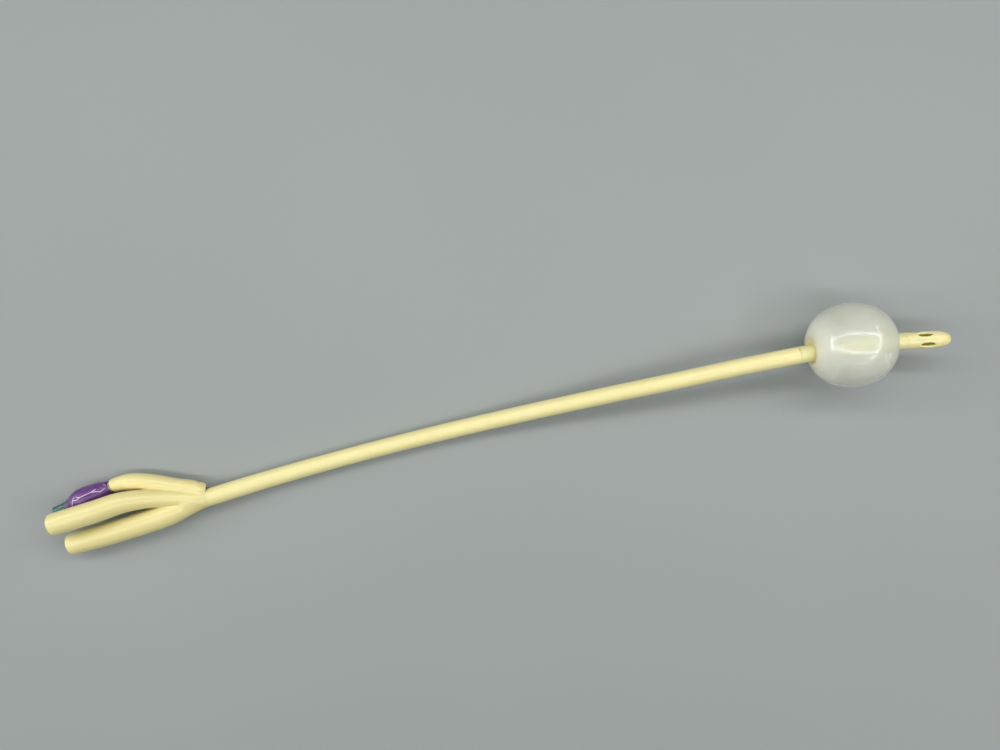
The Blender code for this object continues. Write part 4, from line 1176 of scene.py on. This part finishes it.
def violet_finish():
    """Violet film, with a painted highlight along the crests of its creases."""
    made = Finish("violet_film_painted_crease_highlights", Coat_Weight=0.2, Coat_Roughness=0.2)
    crease = made.add("ShaderNodeAttribute", {"attribute_name": "crease"}).outputs["Fac"]
    violet = made.mixed(made.patches(3.0 * MM, 3.0), (0.105, 0.026, 0.17), (0.135, 0.04, 0.205))
    # Painted highlight: the crease crests are coloured near white, for the glints of the lamps on them.
    pale = made.ranged(crease, 0.05, 0.6, 0.0, 0.95)
    made.feed(
        Base_Color=made.mixed(pale, violet, (0.84, 0.70, 0.90)),
        Roughness=made.patches(1.2 * MM, 3.0, 0.28, 0.42),
    )
    made.bump(made.noise(0.9 * MM, 4.0, 0.6), 0.2, 0.04 * MM)
    return made.material


def teal_finish():
    """Clear teal plastic with a moulded sheen."""
    made = Finish("clear_teal_plastic", Transmission_Weight=0.25, Coat_Weight=0.15, Coat_Roughness=0.2)
    cloud = made.patches(2.0 * MM, 2.0)
    made.feed(
        Base_Color=made.mixed(cloud, (0.032, 0.12, 0.118), (0.045, 0.15, 0.143)),
        Roughness=made.patches(1.0 * MM, 3.0, 0.2, 0.32),
    )
    made.bump(made.noise(0.6 * MM), 0.03, 0.01 * MM)
    return made.material


def plain_finish(name, light, dark, roughness, grain, metallic=0.0):
    """A moulded or drawn finish: two close tones, an uneven sheen and a fine grain."""
    made = Finish(name, Metallic=metallic)
    made.feed(
        Base_Color=made.mixed(made.patches(2.5 * MM, 3.0), light, dark),
        Roughness=made.patches(1.2 * MM, 3.0, *roughness),
    )
    made.bump(made.noise(grain, 3.0), 0.15, 0.01 * MM)
    return made.material


def make_floor():
    """A plain pale table top, which isn't part of the object."""
    half = FLOOR_SIZE / 2
    corners = [(-half, -half, 0.0), (half, -half, 0.0), (half, half, 0.0), (-half, half, 0.0)]
    made = Finish("pale_table_top", Roughness=0.75, Specular_IOR_Level=0.25)
    darker = tuple(channel * 0.97 for channel in FLOOR_COLOUR)
    made.feed(Base_Color=made.mixed(made.patches(0.25, 2.0), FLOOR_COLOUR, darker))
    # Past the lamps' pool of light the table is shown to the camera in the backdrop's colour
    reach = made.maths("ShaderNodeVectorMath", "LENGTH", made.place)
    far = made.ranged(reach, *BACKDROP_REACH, 0.0, 1.0)
    share = made.maths("ShaderNodeMath", "MULTIPLY", far, seen_ray(made.tree))
    backdrop = made.add("ShaderNodeEmission", Color=BACKDROP_COLOUR)
    blend(made.tree, share, made.shader, backdrop, made.output)
    floor = new_piece("table_top", corners, [(0, 1, 2, 3)], made.material)
    floor.location.z = -0.03 * MM


def make_lamps():
    """The strips over the table, each turned to shine at the middle of it."""
    for name, (start, end, width, brightness) in STRIPS.items():
        run = Vector(end) - Vector(start)
        middle = (Vector(start) + Vector(end)) / 2
        lamp = bpy.data.lights.new(name, "AREA")
        lamp.shape = "RECTANGLE"
        lamp.size = run.length
        lamp.size_y = width
        lamp.energy = brightness * math.pi * run.length * width
        holder = shown(name, lamp)
        holder.location = (middle.x, middle.y, STRIP_HEIGHT)
        back = holder.location.normalized()
        along = Vector((run.x, run.y, 0.0)).normalized()
        across = back.cross(along).normalized()
        axes = Matrix((along, across, along.cross(across))).transposed()
        holder.rotation_euler = axes.to_euler()
        holder.visible_camera = False


def make_sky():
    world = bpy.data.worlds.new("soft_surround")
    bpy.context.scene.world = world
    world.use_nodes = True
    tree = world.node_tree
    background = tree.nodes["Background"]
    background.inputs["Color"].default_value = (1.0, 1.0, 1.0, 1.0)
    background.inputs["Strength"].default_value = SKY_STRENGTH
    seen = tree.nodes.new("ShaderNodeBackground")
    seen.inputs["Color"].default_value = (*BACKDROP_COLOUR, 1.0)
    blend(tree, seen_ray(tree), background, seen, tree.nodes["World Output"])


def make_camera():
    lens = bpy.data.cameras.new("camera")
    lens.sensor_width = CAMERA_SENSOR
    lens.lens = CAMERA_SENSOR * CAMERA_FOCAL_SHARE
    lens.clip_start = 5.0 * MM
    camera = shown("camera", lens)
    camera.location = CAMERA_PLACE
    camera.rotation_euler = (0.0, 0.0, CAMERA_TURN)
    bpy.context.scene.camera = camera


def refinish(node, finish):
    for material_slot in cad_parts[node].material_slots:
        material_slot.material = finish


def main():
    make_camera()
    bpy.context.scene.view_settings.view_transform = "Standard"
    make_sky()
    make_lamps()
    make_floor()

    route = shaft_route()
    arms = arm_routes(route)
    valve = valve_frame(arms[2])
    latex = latex_finish("natural_latex", 0.1)
    # Painted shade: the hub's latex is given a deeper, darker tone than the shaft's, for the shade that
    # its arms lie in.
    hub_latex_painted_shade = latex_finish("moulded_latex_painted_shade", 0.45)
    steel = plain_finish(
        "drawn_steel", (0.62, 0.62, 0.64), (0.52, 0.52, 0.54), (0.22, 0.34), 0.2 * MM, metallic=1.0,
    )
    shaft, joint = make_shaft(route, latex)
    hub = netted(
        "latex_hub", hub_field(route, arms), "funnel_hub", HUB_MARGIN, HUB_GRID, HUB_ROUNDS, hub_latex_painted_shade,
    )
    tip_latex = latex_finish("thin_latex", 0.05, 0.9)
    tip = netted("latex_tip", tip_field(route), "tip", TIP_MARGIN, TIP_GRID, TIP_ROUNDS, tip_latex)
    balloon, water, collars = make_balloon(route, film_finish(), water_finish(), latex)
    sleeve = make_sleeve(valve, violet_finish())
    port = make_port(valve, teal_finish())
    spring = make_spring(valve, steel)

    for piece, node, slot in (
        *((collar, "balloon", "latex") for collar in collars),
        (shaft, "shaft", "latex"), (hub, "funnel_hub", "latex"), (tip, "tip", "latex"),
        (balloon, "balloon", "balloon_film"), (water, "balloon_water", "sterile_water"),
        (sleeve, "valve_sleeve", "violet_film"), (port, "valve_housing", "teal_plastic"),
        (spring, "valve_spring", "spring_steel"),
    ):
        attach(piece, "catheter")
        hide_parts(node)
    route.point(HUB_SOCKET_DEPTH).tolist()
    [route.point(distance).tolist() for distance in stations(0.0, joint, 5.0 * MM)]
    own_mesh(spring)

    white = plain_finish("moulded_white", (0.80, 0.80, 0.78), (0.74, 0.74, 0.71), (0.36, 0.46), 0.3 * MM)
    rubber = plain_finish(
        "moulded_rubber", (0.045, 0.045, 0.047), (0.07, 0.07, 0.07), (0.5, 0.65), 0.25 * MM,
    )
    refinish("valve_base", white)
    refinish("valve_plunger", white)
    refinish("valve_seal", rubber)


main()
